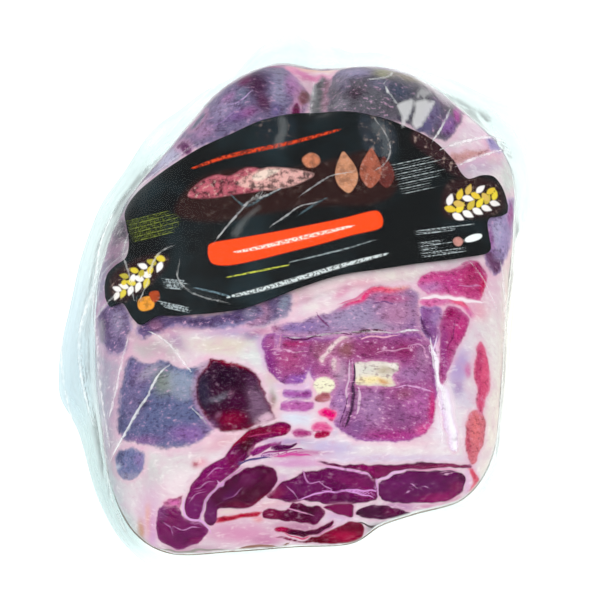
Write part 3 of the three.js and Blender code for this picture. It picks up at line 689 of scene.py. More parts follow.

# Lines on the meat: seams of fat, slits and streaks. Each has a half width in pixels, a colour
# and the points that it runs through.
# The dark line #4c2c4c down the left of the cream tendon patch is painted shade in its groove; the grey
# lines #98908c, #4c3c40 and #a08888 along the foot of the cut face are painted shadow where the meat meets
# the table and stands off it.
SEAMS = table(2, """
    1 #d494d4 300,499 312,494 330,491 345,490 356,492 370,496
    0.9 #d494d4 345,489 360,489 377,490
    0.8 #b878b0 303,472 306,478 311,482 322,480
    0.8 #b878b0 289,487 294,491 297,497
    0.7 #b878b0 320,481 325,485 332,488
    1.1 #d8a0d0 325,468 340,468 352,470 362,473 370,476
    1.3 #e0b4dc 378,480 388,476 398,472 408,470
    0.9 #d89cbc 408,470 425,470 442,469 458,470
    1 #d49cd0 377,480 378,488 379,497
    1.1 #d8a4d8 184,500 182,508 184,515 190,520 200,521 206,525 210,531
    1 #c890c4 200,520 202,511 205,503 210,496 217,489 223,484
    1 #c080b0 223,483 229,477 235,472 242,468
    1.4 #d8a0d0 218,482 221,486 224,482
    0.6 #b070a4 196,488 204,484 212,482
    0.6 #b070a4 190,500 197,494 203,492
    0.6 #b070a4 206,476 213,470 220,468
    0.6 #a860a0 226,499 234,495 241,489
    0.6 #c080b8 174,527 182,529 192,527 199,527
    0.6 #a868a0 163,522 170,526 172,533
    0.7 #c88cc0 412,484 416,485
    0.7 #c88cc0 424,485 428,486
    0.9 #d8a8c8 443,473 448,473
    0.7 #c88cc0 406,492 410,490
    0.8 #d090b8 288,509 298,510 310,513
    1 #c078a0 318,535 326,530 333,526
    0.8 #c84c74 284,534 296,537 310,538
    1.8 #f6f0f8 430,347 434,354 437,366 438,380 440,390
    2.6 #f8f4fa 438,384 443,392 447,404 450,420 454,438 456,448
    1 #e4cce8 436,338 434,346 430,352
    1.1 #4c3c70 240,464 248,460 258,458 268,457
    0.9 #84246c 262,453 275,451 288,450 302,449
    1.2 #c84c98 276,456 290,455 308,456
    0.8 #6c1c54 228,470 236,462 246,452
    1 #8c1438 232,448 240,438 250,432
    0.8 #9c3460 250,437 262,434 276,432
    1.3 #44102c 352,331 364,332 376,331 384,332
    0.9 #5c2450 284,337 300,339 316,336 330,333 350,334
    0.9 #dca4bc 360,338 372,337 384,338 396,336
    0.8 #c88cb0 271,350 280,350 292,352 306,352
    0.8 #c084a8 281,335 279,345 280,351
    0.7 #c084a8 376,352 388,350 400,351 412,349
    1 #d49ccc 396,387 408,386 420,389 430,393
    0.8 #c890b8 410,346 418,344 424,350 427,358
    1.6 #4c2c4c 354,364 354,384 353,400 350,414 346,426
    1.3 #ccacc4 359,388 359,402 357,414
    1.2 #c8a8c0 349,362 348,378 347,394 346,408
    0.8 #6c3c6c 347,398 344,412 341,424
    1 #5c3060 421,318 424,326 430,334
    1 #c87094 340,303 350,300 360,295 370,289
    1 #7c4878 318,314 322,320 328,326
    0.8 #7c5080 372,304 384,302 396,305
    0.9 #8c3068 455,322 452,336 448,350
    1.6 #ecdce4 422,298 438,297 455,298 470,301 482,302
    0.9 #c070a0 460,286 470,287 480,287
    1 #98908c 141,548 170,551 200,551 228,550
    1.7 #8c6458 236,549 255,546 268,546 280,549 288,545
    1.2 #4c3c40 360,523 372,526 386,524 400,520 412,515
    1 #a08888 412,513 430,512 450,509 464,505
    0.7 #8c74a0 214,128 226,118 240,108
    0.7 #a890b8 232,104 244,98 252,92
""")


# The film: creases that stand up, each with a half width in pixels, a height in millimetres,
# how white it catches the light, and its points
CREASES = table(3, """
    1.5 1.3 0.9 433,140 441,127 449,111
    1.7 1.5 1 442,149 455,145 467,142 488,139 503,142
    1.6 1.4 0.95 458,166 470,161 482,157 504,150
    1.4 0.9 0.8 384,85 388,93 393,100 398,106
    1.2 0.8 0.5 370,80 378,80 388,78 392,74
    1.5 1 0.95 168,366 159,375 152,388 148,397 140,409 131,425 121,442 111,460
    1.5 0.9 0.75 128,340 124,357 120,376 116,396 110,416
    1.6 0.8 0.7 150,332 164,340 175,351 184,363 190,370
    1.1 0.7 0.5 192,408 199,415 206,423
    1.3 0.9 0.5 284,337 300,338 318,336 345,333 372,332 392,333
    1.3 0.9 0.95 396,333 408,331 420,331
    1.4 1 0.7 430,340 432,358 436,385 440,412 442,440
    1.2 0.8 0.5 500,262 503,300 502,350 500,400
    1.3 0.7 0.45 314,80 313,90 312,104 310,114
    1.1 0.7 0.6 96,320 104,308 112,300 118,292
    1.2 0.9 0.65 214,243 228,226 244,208 262,190
    1.2 0.8 0.6 236,214 248,203 266,196 281,188
    1.1 0.8 0.5 272,226 284,218 300,207 316,203
    1.3 0.9 0.5 172,246 160,254 152,268 148,284 140,300
    1.2 0.8 0.45 180,262 178,278 190,292 208,299 228,303
    1.1 0.7 0.4 128,236 124,256 130,276 134,300
    1.2 0.8 0.4 374,118 384,132 390,148 386,162 376,170
    1.1 0.7 0.4 300,196 318,184 332,176 352,172
    1.7 0.8 0.9 112,217 101,247 95,285 84,318 80,345 82,376 88,404 93,424
    1.4 0.8 0.7 99,257 95,290 96,320 99,350 101,380 105,412 110,446
    1.4 0.8 0.7 66,300 62,340 64,380 74,430
    1.2 0.8 0.5 104,430 108,462 114,500 126,532
    1.1 0.7 0.5 236,70 214,88 190,110 168,136
    1 0.6 0.4 470,262 484,282 496,310
""")

# The film's tints: cool where it stands up or lies double at the left, clear on the right and
# low down, and creamy along the right edge
FILM_TINTS = tints("""
    74,360 26,120 #e9f1f4 1 3; 100,475 20,60 #e9f1f1 1 -18; 122,530 14,30 #ebf2f2 0.9 -30;
    118,200 26,80 #ebf2f2 0.8 30; 236,66 70,16 #eef4f5 0.8 -20; 525,350 40,220 #fcffff 1;
    400,535 110,24 #fcffff 1; 508,330 7,110 #f8f5ef 0.8 3
""")

# Glints, painted highlights where the film catches the light, drawn as white haze: how strong, how soft in
# pixels, and the outline
GLINTS = table(2, """
    0.78 1.2 397,105 401,103 405,102 409,101 413,100 413,105 411,111 409,116 406,121 404,125
        401,124 402,118 399,112
    0.8 1.2 415,102 419,100 424,100 429,101 435,102 432,108 429,114 426,119 422,125 418,129
        414,127 412,123 413,117 415,110
    0.42 2.2 416,96 419,91 422,88 425,90 430,91 430,95 427,96 424,100 421,96 418,99
    0.3 1.6 434,90 440,94 446,100 450,107 444,104 438,99
    0.13 3 232,232 246,216 258,206 258,210 246,222 238,236
    0.09 2.5 374,120 384,124 391,140 388,156 382,154 382,140 372,130
    0.14 3 278,118 286,120 286,134 280,146 274,142 280,130
    0.28 3 97,324 104,322 104,360 100,400 96,380 95,350
    0.14 3 308,88 314,82 317,96 314,112 308,112
    0.5 3 448,380 454,396 456,420 458,446 450,448 446,420 442,392
    0.22 4 170,372 182,372 194,380 190,398 178,400 168,388
""")


# The label's print: a black ground with hills, tall leaves and a sun, a band, clusters of plain
# pointed leaves, and broken rules, in pixels of the picture; grain roughens a shape's ink

def ink(layer, soft, colour, grain, outline):
    return muscle(layer, soft, colour, colour, 1, grain, 0.0, outline)


def leaf(layer, colour, base, turn, length, grain=0.0):
    """A pointed leaf: its half width along its length is 0.27 of the length times sin(pi t),
    leaning towards the base, turned by so many degrees anticlockwise from the right."""
    t = np.linspace(0, 1, 7)
    half = 0.27 * length * np.sin(np.pi * t ** 0.8) ** 0.9
    t = t * length
    both = np.concatenate([np.column_stack([t, half]), np.column_stack([t, -half])[-2:0:-1]])
    c, s = math.cos(math.radians(turn)), math.sin(math.radians(turn))
    return ink(layer, 0.8, colour, grain, np.array(base) + both @ np.array([[c, -s], [s, c]]))


PRINT = [
    # slate patches where the film's reflection lies over the card, painted reflection, and the dark red
    # ground behind the hills and the leaves
    ink(0, 5.0, "#1a242c", 0.3, "262,118 292,117 296,132 286,148 268,146 258,132"),
    ink(0, 5.0, "#2a323c", 0.5, "362,116 388,122 396,140 388,160 370,156 362,136"),
    ink(0, 4.0, "#28100f", 0.12,
        "176,214 186,190 206,176 240,168 280,170 330,160 372,150 392,166 396,190 372,204 320,206 262,214 "
        "214,222"),
    ink(0, 4.0, "#341820", 0.8, "420,128 444,148 462,170 456,176 430,156 412,140"),
    ink(0, 4.0, "#2c1418", 0.5, "446,186 466,178 494,182 504,198 500,212 470,218 444,214"),
    ink(0, 4.0, "#2c1418", 0.5, "112,276 132,262 158,254 168,262 150,284 128,300 112,298"),
    # hills, sun and tall leaves
    ink(1, 1.6, "#b85c6c", 1.0,
        "188,196 200,182 216,175 230,176 246,168 262,170 276,181 262,190 236,194 210,198"),
    ink(2, 1.4, "#d8a4a0", 1.0, "236,184 250,174 266,168 284,168 298,170 314,174 306,180 288,187 262,190"),
    ink(3, 1.2, "#e8d0c4", 0.6, "252,177 264,170 280,170 270,176 258,181"),
    ink(1, 1.2, "#c87c5c", 0.6, "302,160 306,155 312,153 318,156 320,162 315,167 307,167"),
    leaf(1, "#c88c6c", (349, 193), 98, 42, 0.5),
    leaf(2, "#a85c48", (370, 188), 88, 40, 0.5),
    leaf(1, "#6c302c", (387, 188), 96, 32, 0.5),
    # the band
    ink(0, 0.9, "#fb4a14", 0.08,
        "208,250 212,243 240,238 274,232 310,225 344,218 372,211 380,213 383,222 378,229 352,235 320,244 "
        "288,252 256,260 230,265 214,264 209,258"),
    # a plain orange tile with a dark red corner, a white oval and a small pink round
    ink(1, 0.8, "#e89a34", 0.5, "139,299 150,296 154,300 153,308 143,311 138,307"),
    ink(2, 0.8, "#a8421c", 0.5, "149,293 158,291 159,299 153,302"),
    ink(1, 0.7, "#eef2f2", 0.0, "465,239 469,236 475,234 481,234 482,237 478,240 471,242 466,242"),
    ink(1, 0.8, "#c88c84", 0.3, "453,240 457,237 461,238 463,242 460,246 455,245"),
]
# Sprays of leaves: the stem's points, its leaves' colours and their length; and how many
# degrees a leaf stands out from its stem
LEAF_TURN = 42
SPRAYS = [
    ([(444, 208), (458, 200), (472, 193), (488, 194)], ("#e3c23a", "#f3ecec", "#d6b45a"), 13),
    ([(452, 214), (468, 210), (482, 206), (494, 200)], ("#f3ecec", "#e8cf3a", "#f3ecec", "#c9b040"), 13),
    ([(166, 260), (152, 266), (138, 272), (124, 280)], ("#dcc43c", "#f0eaea", "#b8a83a"), 12),
    ([(152, 276), (140, 282), (128, 288), (118, 292)], ("#efe8e4", "#dcc848", "#f0eaea"), 12),
]
# Blocks of rules: half width, colour, first point, step to the next rule, its turn, lengths
RULE_BLOCKS = [
    (0.5, "#b4bcc0", (393, 165), (1.7, 4.8), 12, (38, 46, 36, 46, 40, 28, 30)),
    (0.6, "#b4bcc0", (417, 231), (0.8, 3.4), 7, (57, 36)),
    (0.55, "#b4bcc0", (420, 243), (0.9, 3.5), 8, (20, 31, 13, 41, 42)),
    (0.42, "#808c30", (128, 221), (1.4, 4.1), 14, (40, 46, 48, 48, 44, 38)),
    (0.55, "#aab4b8", (164, 279), (1.0, 3.0), -4, (20, 22, 18, 14)),
    (0.55, "#aab4b8", (158, 301), (3.0, 3.0), -12, (30, 28, 24)),
]
# The last three rules, blue-grey and slate, are painted reflections of the film's folds lying over the card
RULES = table(2, """
    1.9 #d8431c 194,168 222,158 256,150 294,142 338,130
    0.9 #c4c848 228,277 248,273 268,269 288,265
    0.8 #9aa4a8 290,262 320,255 348,248 374,240
    2.2 #d4dadc 228,297 262,289 300,278 340,266 386,254
    2 #f4e0d4 236,252 262,247 292,240 322,233 352,226
    1 #6c8490 196,288 214,292 232,297
    1.2 #50646c 232,196 246,206 262,198 282,188
    1.1 #4c6068 300,214 312,206 326,198
""")


def broken_rules():
    """Each block's rules as lines: (half width, colour, points)."""
    rules = []
    for half_width, colour, first, step, turn, lengths in RULE_BLOCKS:
        ahead = np.array([math.cos(math.radians(turn)), -math.sin(math.radians(turn))])
        for k, length in enumerate(lengths):
            start = np.array(first, float) + k * np.array(step, float)
            rules.append((half_width, colour, start + np.linspace(0, length, 4)[:, None] * ahead))
    return rules


def spray_leaves():
    """Leaves along each stem, standing out to its two sides in turn, each a little shorter."""
    leaves = []
    for stem, colours, length in SPRAYS:
        count = 2 * len(stem) + 2
        at = along_curve(stem, np.linspace(0.02, 0.96, count))
        ahead = along_curve(stem, np.linspace(0.04, 0.98, count)) - at
        for k in range(count):
            turn = math.degrees(math.atan2(-ahead[k, 1], ahead[k, 0]))
            turn += LEAF_TURN if k % 2 else -LEAF_TURN
            shorter = length * (1.0 - 0.02 * k)
            leaves.append(leaf(1 + k % 3, colours[k % len(colours)], at[k], turn, shorter))
    return leaves


# Fields laid on a piece's points: how many layers of shapes there are, the depth that stands
# for far outside, and how far in pixels a line reaches

LAYERS = 4
FAR_OUT = -9.0
LINE_REACH = 10.0


def tinted(colour, places, ovals):
    """A colour field with soft oval tints laid over it, each fading as exp(-distance cubed)."""
    for x, y, half_x, half_y, turn, tint, strength in ovals:
        c, s = math.cos(math.radians(turn)), math.sin(math.radians(turn))
        dx, dy = places[:, 0] - x, places[:, 1] - y
        away = ((dx * c + dy * s) / half_x) ** 2 + ((dy * c - dx * s) / half_y) ** 2
        colour = mix(colour, linear(tint), (strength * np.exp(-away ** 1.5))[:, None])
    return colour


def lay_shapes(places, shapes):
    """What the shader draws shapes from: for each layer how deep a place lies in its nearest
    shape, in softnesses of its edge, and that shape's colour there. Gives these numbers and
    colours by name, and the marbling and relief of the topmost shape."""
    n = len(places)
    depth = [np.full(n, FAR_OUT) for _ in range(LAYERS)]
    colour = [np.ones((n, 4)) for _ in range(LAYERS)]
    marbling, relief = np.zeros(n), np.zeros(n)
    for shape in shapes:
        layer = shape["layer"]
        d = inside_distance(places, shape["outline"])
        level = np.maximum(d / shape["soft"], FAR_OUT)
        ahead = level > depth[layer]
        depth[layer] = np.where(ahead, level, depth[layer])
        near = np.flatnonzero(ahead)
        from_rim = smooth(0, shape["rim_width"], d[near])[:, None]
        shade = mix(linear(shape["rim"]), linear(shape["core"]), from_rim)
        colour[layer][near] = tinted(shade, places[near], shape["tints"])
        marbling = mix(marbling, shape["marbling"], smooth(-1, 1, level))
        relief = np.maximum(relief, shape["relief"] * smooth(-1, 7, d))
    numbers = {f"depth_{k}": depth[k] for k in range(LAYERS)}
    colours = {f"colour_{k}": colour[k] for k in range(LAYERS)}
    return numbers, colours, marbling, relief


def lay_lines(places, lines, ground):
    """The nearest line's offset in its own half widths, signed by its side, so that the shade
    crosses it evenly; its distance in pixels; and its colour."""
    n = len(places)
    nearest, offset = np.full(n, LINE_REACH), np.full(n, -FAR_OUT)
    colour = np.tile(linear(ground), (n, 1))
    for half_width, tint, points in lines:
        near, away, side, share = line_offset(places, points, LINE_REACH)
        closer = away < nearest[near]
        at = near[closer]
        nearest[at] = away[closer]
        taper = half_width * (0.35 + 0.65 * np.sin(np.pi * np.clip(share[closer], 0.02, 0.98)) ** 0.5)
        offset[at] = away[closer] * side[closer] / taper
        colour[at] = linear(tint)
    return offset, nearest, colour


# Putting a piece together

def put(name, data):
    """A new object of the scene, at the origin."""
    made = bpy.data.objects.new(name, data)
    bpy.context.scene.collection.objects.link(made)
    return made


def make_piece(name, points, quads, tris, material, numbers, colours):
    """A mesh from points in millimetres, its faces and its point attributes."""
    mesh = bpy.data.meshes.new(name)
    mesh.vertices.add(len(points))
    mesh.vertices.foreach_set("co", ((points - PLAN_CENTRE) * MM).astype(np.float32).ravel())
    tris = np.zeros((0, 3), int) if tris is None else tris
    corners = np.concatenate([quads.ravel(), tris.ravel()]).astype(np.int32)
    mesh.loops.add(len(corners))
    mesh.loops.foreach_set("vertex_index", corners)
    starts = np.concatenate([np.arange(len(quads)) * 4, len(quads) * 4 + np.arange(len(tris)) * 3])
    mesh.polygons.add(len(starts))
    mesh.polygons.foreach_set("loop_start", starts.astype(np.int32))
    mesh.update(calc_edges=True)
    mesh.polygons.foreach_set("use_smooth", np.ones(len(starts), bool))
    for fields, kind, part in ((numbers, "FLOAT", "value"), (colours, "FLOAT_COLOR", "color")):
        for key, values in fields.items():
            attribute = mesh.attributes.new(key, kind, "POINT")
            attribute.data.foreach_set(part, values.astype(np.float32).ravel())
    mesh.materials.append(material)
    piece = put(name, mesh)
    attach(piece, "root")
    return piece


# Materials

def add(tree, kind, settings=None, **inputs):
    """Adds a node: settings are its own values, and each input is a value or a socket. An
    input's name is its label with _ for a space, or i and its number."""
    made = tree.nodes.new("ShaderNode" + kind)
    for key, value in (settings or {}).items():
        setattr(made, key, value)
    for key, value in inputs.items():
        socket = made.inputs[int(key[1:])] if key[1:].isdigit() else made.inputs[key.replace("_", " ")]
        if isinstance(value, bpy.types.NodeSocket):
            tree.links.new(value, socket)
        else:
            socket.default_value = value
    return made


def start_material(name):
    """A material with an empty tree, and the place on the object that its patterns read."""
    material = bpy.data.materials.new(name)
    material.use_nodes = True
    tree = material.node_tree
    tree.nodes.clear()
    return material, tree, add(tree, "TexCoord").outputs["Object"]


def maths(tree, operation, a, b=0.0, c=0.0, clamp=False):
    return add(tree, "Math", dict(operation=operation, use_clamp=clamp), i0=a, i1=b, i2=c).outputs[0]


def times(tree, a, b):
    return maths(tree, "MULTIPLY", a, b)


def ease(tree, value, low, high, to_low=0.0, to_high=1.0):
    """A smooth step from low to high."""
    settings = dict(interpolation_type="SMOOTHSTEP")
    return add(tree, "MapRange", settings, Value=value, From_Min=low, From_Max=high,
               To_Min=to_low, To_Max=to_high).outputs[0]


def blend(tree, share, a, b):
    """From one number to another."""
    return add(tree, "Mix", dict(data_type="FLOAT"), i0=share, i2=a, i3=b).outputs[0]


def blend_colour(tree, share, a, b, kind="MIX"):
    return add(tree, "Mix", dict(data_type="RGBA", blend_type=kind), i0=share, i6=a, i7=b).outputs[2]


def blend_shader(tree, share, a, b):
    return add(tree, "MixShader", None, i0=share, i1=a.outputs[0], i2=b.outputs[0])


def number(tree, name):
    return add(tree, "Attribute", dict(attribute_name=name)).outputs["Fac"]


def colour_of(tree, name):
    return add(tree, "Attribute", dict(attribute_name=name)).outputs["Color"]


def stretched(tree, where, scale, turn=0.0):
    return add(tree, "Mapping", None, Vector=where, Scale=scale, Rotation=(0.0, 0.0, turn)).outputs[0]


def noise(tree, where, size_mm, detail=2.0, rough=0.5, distort=0.0):
    """Noise whose humps are about size_mm across."""
    return add(tree, "TexNoise", None, Vector=where, Scale=1.0 / (size_mm * MM), Detail=detail,
               Roughness=rough, Distortion=distort).outputs[0]


def bumped(tree, strength, distance_mm, height):
    return add(tree, "Bump", None, Strength=strength, Distance=distance_mm * MM, Height=height).outputs[0]


def surface(tree, shader):
    add(tree, "OutputMaterial", None, Surface=shader.outputs[0])


def line_shade(tree, offset, full, none):
    """How much of a line shows at an offset in its half widths, and none beyond 3.5 pixels."""
    return times(tree, ease(tree, offset, none, full), ease(tree, number(tree, "line_away"), 3.5, 2.5))


def layered_colour(tree, where, ground, wander, stain=None, broken=0.0):
    """The ground colour with the piece's layers of shapes and its lines laid over it, the
    ground beside a shape stained and the lines broken by so much."""
    colour = ground
    covered = 0.0
    ragged = noise(tree, where, 2.6, 4.0, 0.65)
    ragged = times(tree, maths(tree, "SUBTRACT", ragged, 0.5), wander)
    for layer in range(LAYERS):
        depth = maths(tree, "ADD", number(tree, f"depth_{layer}"), ragged)
        if stain:
            colour = blend_colour(tree, ease(tree, depth, -4.5, -0.5, 0.0, 0.34), colour, linear(stain))
        shown = ease(tree, depth, -1.0, 1.0)
        colour = blend_colour(tree, shown, colour, colour_of(tree, f"colour_{layer}"))
        covered = maths(tree, "MAXIMUM", covered, shown)
    line = line_shade(tree, maths(tree, "ABSOLUTE", number(tree, "line_offset")), 0.5, 1.5)
    gaps = ease(tree, noise(tree, where, 1.1, 2.0), 0.44, 0.52, 1.0 - broken, 1.0)
    line = times(tree, line, gaps)
    return blend_colour(tree, line, colour, colour_of(tree, "line_colour")), covered, line


def cured_meat():
    """Cured and pressed ham under film: wine red to violet lean, grained by its fibres and
    flecked with white marbling, in pinkish white fat, all moist; tan rind with pores below."""
    material, tree, where = start_material("cured ham")
    fat_mottle = noise(tree, where, 7.0, 3.0)
    streaks = noise(tree, stretched(tree, where, (0.45, 1.0, 1.0), 0.35), 2.6, 4.0, 0.65, 0.8)
    fat = colour_of(tree, "fat")
    for pattern, low, high, most, tone in ((fat_mottle, 0.42, 0.70, 0.30, "#cf9cb8"),
                                           (streaks, 0.52, 0.70, 0.40, "#f6f0ee"),
                                           (streaks, 0.46, 0.30, 0.32, "#c498b0")):
        fat = blend_colour(tree, ease(tree, pattern, low, high, 0.0, most), fat, linear(tone))
    colour, covered, line = layered_colour(tree, where, fat, 3.2, "#dc9cbc")

    # Where the picture doesn't reach, muscle shows through thin fat in broad soft patches
    patch = ease(tree, noise(tree, where, 46.0, 5.0, 0.60, 0.4), 0.40, 0.56)
    deep_or_pale = ease(tree, noise(tree, where, 20.0), 0.35, 0.65)
    purple = blend_colour(tree, deep_or_pale, linear("#5e4466"), linear("#8c7898"))
    plain_fat = blend_colour(tree, noise(tree, where, 25.0), linear("#c4aabf"), linear("#dcd0d4"))
    unseen = number(tree, "unseen")
    colour = blend_colour(tree, unseen, colour, blend_colour(tree, patch, plain_fat, purple))
    covered = blend(tree, unseen, covered, patch)

    # Fibres, darker and lighter, and a fine marbling of fat
    fibre = noise(tree, stretched(tree, where, (0.50, 1.0, 1.0), 0.5), 1.1, 3.0, 0.70, 0.4)
    mottle = noise(tree, where, 3.2, 3.0, 0.60)
    grain = maths(tree, "ADD", times(tree, fibre, 0.55), times(tree, mottle, 0.45))
    deep = times(tree, ease(tree, grain, 0.50, 0.38, 0.0, 0.60), covered)
    colour = blend_colour(tree, deep, colour, linear("#8c6480"), "MULTIPLY")
    pale = times(tree, ease(tree, grain, 0.54, 0.65, 0.0, 0.70), covered)
    colour = blend_colour(tree, times(tree, pale, number(tree, "marbling")), colour, linear("#d8a8c8"))
    rich = add(tree, "HueSaturation", None, Saturation=1.04, Value=0.98, Color=colour).outputs[0]
    colour = blend_colour(tree, covered, colour, rich)

    # Rind: tan, blotched and pored
    blotch = noise(tree, where, 14.0, 4.0, 0.6)
    rind_colour = blend_colour(tree, ease(tree, blotch, 0.35, 0.7), linear("#c4a38e"), linear("#a07a68"))
    pores = add(tree, "TexVoronoi", None, Vector=where, Scale=1 / (3.2 * MM)).outputs[0]
    pore = ease(tree, pores, 0.22, 0.10)
    rind_colour = blend_colour(tree, times(tree, pore, 0.5), rind_colour, linear("#6a4438"))
    rind = ease(tree, maths(tree, "MULTIPLY_ADD", blotch, 0.5, number(tree, "rind")), 0.65, 0.85)
    colour = blend_colour(tree, rind, colour, rind_colour)

    # Just below the edge the meat lies in shade between the two webs: it is painted near white there,
    # painted light that lifts the shade
    colour = blend_colour(tree, times(tree, number(tree, "edge"), 0.85), colour, linear("#f0f4f2"))

    height = maths(tree, "MULTIPLY_ADD", fibre, covered, times(tree, fat_mottle, 0.6))
    height = maths(tree, "SUBTRACT", height, times(tree, pore, rind))
    height = maths(tree, "SUBTRACT", height, times(tree, line, 0.5))
    surface(tree, add(tree, "BsdfPrincipled", None, Base_Color=colour, IOR=1.45, Specular_IOR_Level=0.03,
                      Roughness=blend(tree, covered, 0.42, 0.34), Normal=bumped(tree, 0.35, 0.5, height)))
    return material


def vacuum_film():
    """Clear polyamide and polyethylene vacuum film, faintly green or blue where it is alone: thin
    gloss over what it covers, milky in the slack margin, white along creases (milky folds with a
    painted highlight) and at glints (painted highlight)."""
    material, tree, where = start_material("vacuum film")
    ragged = times(tree, maths(tree, "SUBTRACT", noise(tree, where, 2.5, 3.0, 0.6), 0.5), 3.0)
    offset = maths(tree, "ADD", maths(tree, "ABSOLUTE", number(tree, "line_offset")), ragged)
    line = line_shade(tree, offset, 0.2, 1.3)
    broken = ease(tree, noise(tree, where, 6.0, 2.0), 0.30, 0.62, 0.35, 1.0)
    white = times(tree, times(tree, line, broken), number(tree, "whiteness"))
    haze = maths(tree, "MAXIMUM", white, number(tree, "haze"), clamp=True)
    wrinkle = noise(tree, stretched(tree, where, (1.0, 0.35, 0.6)), 9.0, 3.0, 0.5, 0.8)
    height = maths(tree, "MULTIPLY_ADD", noise(tree, where, 3.0, 2.0), 0.15, wrinkle)
    height = maths(tree, "MULTIPLY_ADD", line, 0.6, height)
    bump = bumped(tree, 0.5, 0.9, height)
    slack = blend_colour(tree, 1.0, colour_of(tree, "tint"), linear("#f3f8f8"), "MULTIPLY")
    # The whitening at creases is partly the folds' own milkiness and partly painted highlight; at glints it
    # is painted highlight
    bright = maths(tree, "MAXIMUM", white, number(tree, "glint"))
    whitened = blend_colour(tree, ease(tree, bright, 0.0, 0.4), slack, linear("#fafcfc"))
    clear = add(tree, "BsdfTransparent", None, Color=colour_of(tree, "tint"))
    sent_back = add(tree, "BsdfDiffuse", None, Color=whitened, Normal=bump)
    passed_on = add(tree, "BsdfTranslucent", None, Color=whitened, Normal=bump)
    body = blend_shader(tree, haze, clear, blend_shader(tree, 0.45, sent_back, passed_on))
    gloss = add(tree, "BsdfAnisotropic", None, Color=linear("#ffffff"), Roughness=0.16, Normal=bump)
    edge_on = add(tree, "Fresnel", None, IOR=1.10, Normal=bump).outputs[0]
    surface(tree, blend_shader(tree, edge_on, body, gloss))
    return material


def printed_card():
    """Coated card, offset printed: a black ground with slate clouds, crisp inks with mottled
    shading in the picture, a satin coat and a faint grain."""
    material, tree, where = start_material("printed card")
    cloud = ease(tree, noise(tree, where, 34.0, 3.0, 0.55), 0.42, 0.70)
    ground = blend_colour(tree, cloud, linear("#070a0d"), linear("#1c2a30"))
    colour, _, _ = layered_colour(tree, where, ground, 0.25, broken=0.75)
    for size, low, high, most, tone in ((3.4, 0.58, 0.36, 0.85, "#1c0e12"),
                                        (2.4, 0.54, 0.70, 0.50, "#e8c8bc")):
        mottle = ease(tree, noise(tree, where, size, 4.0, 0.65), low, high, 0.0, most)
        colour = blend_colour(tree, times(tree, mottle, number(tree, "grain")), colour, linear(tone))
    bump = bumped(tree, 0.12, 0.2, noise(tree, where, 0.8, 2.0))
    surface(tree, add(tree, "BsdfPrincipled", None, Base_Color=colour, Roughness=0.38, IOR=1.5,
                      Specular_IOR_Level=0.08, Normal=bump))
    return material


def white_board():
    """Matt white board that glows a little, so that it stays white in the pack's shade."""
    material, tree, _ = start_material("white board")
    white = linear("#fbfbfb")
    surface(tree, add(tree, "BsdfPrincipled", None, Base_Color=white, Roughness=0.9, Emission_Color=white,
                      Emission_Strength=0.30))
    return material


# The ham, in millimetres: how far it lies under the film, in general, along its edge and at
# least; its deepest dent and its lowest point; how deep its seams lie and, in pixels, their half
# width; the sizes of its bumps; and the cosines to the camera between which the picture starts
MEAT_UNDER_FILM = 1.1
EDGE_UNDER_FILM = 0.45
LEAST_UNDER_FILM = 0.25
DEEPEST_DENT = 0.5
LOWEST_MEAT = 0.6
GROOVE_DEPTH = 0.35
GROOVE_HALF_WIDTH = 1.5
MEAT_IN_SIGHT = (0.03, 0.22)
BROAD_BUMPS = 11.0
FINE_BUMPS = 4.0


def closed_pack():
    """The pack out to the film without its margin: the top on a disc grid, then rings down
    the side and in under it to a pole. Gives points, quads, tris and each point's tuck: less
    than 0 above the edge, 0 to 1 down the side and more under the meat."""
    rings = SLAB_RINGS + SHOULDER_RINGS
    ring, turn, quads, rim = disc_grid(rings)
    here = stations_at(turn)
    points = [top_points(ring_share(ring, here), here)]
    tuck = [np.minimum((ring - rings) / SHOULDER_RINGS, 0)]
    around = stations_at(turn[rim])
    pole = np.array([*MIDDLE, 0.0])
    for k in range(1, TUCK_RINGS + UNDER_RINGS):
        if k <= TUCK_RINGS:
            points.append(tuck_points(np.full(len(rim), k / TUCK_RINGS), around))
            tuck.append(np.full(len(rim), k / TUCK_RINGS))
        else:
            points.append(mix(points[TUCK_RINGS], pole, (k - TUCK_RINGS) / UNDER_RINGS))
            tuck.append(np.full(len(rim), 1.0 + k - TUCK_RINGS))
    below = [len(ring) + k * len(rim) + np.arange(len(rim)) for k in range(TUCK_RINGS + UNDER_RINGS - 1)]
    quads = np.concatenate([quads, strips([rim] + below, downward=False)])
    points = np.concatenate(points + [pole[None]])
    tris = fan(below[-1], len(points) - 1)
    return points, quads, tris, np.append(np.concatenate(tuck), 1.0 + UNDER_RINGS)


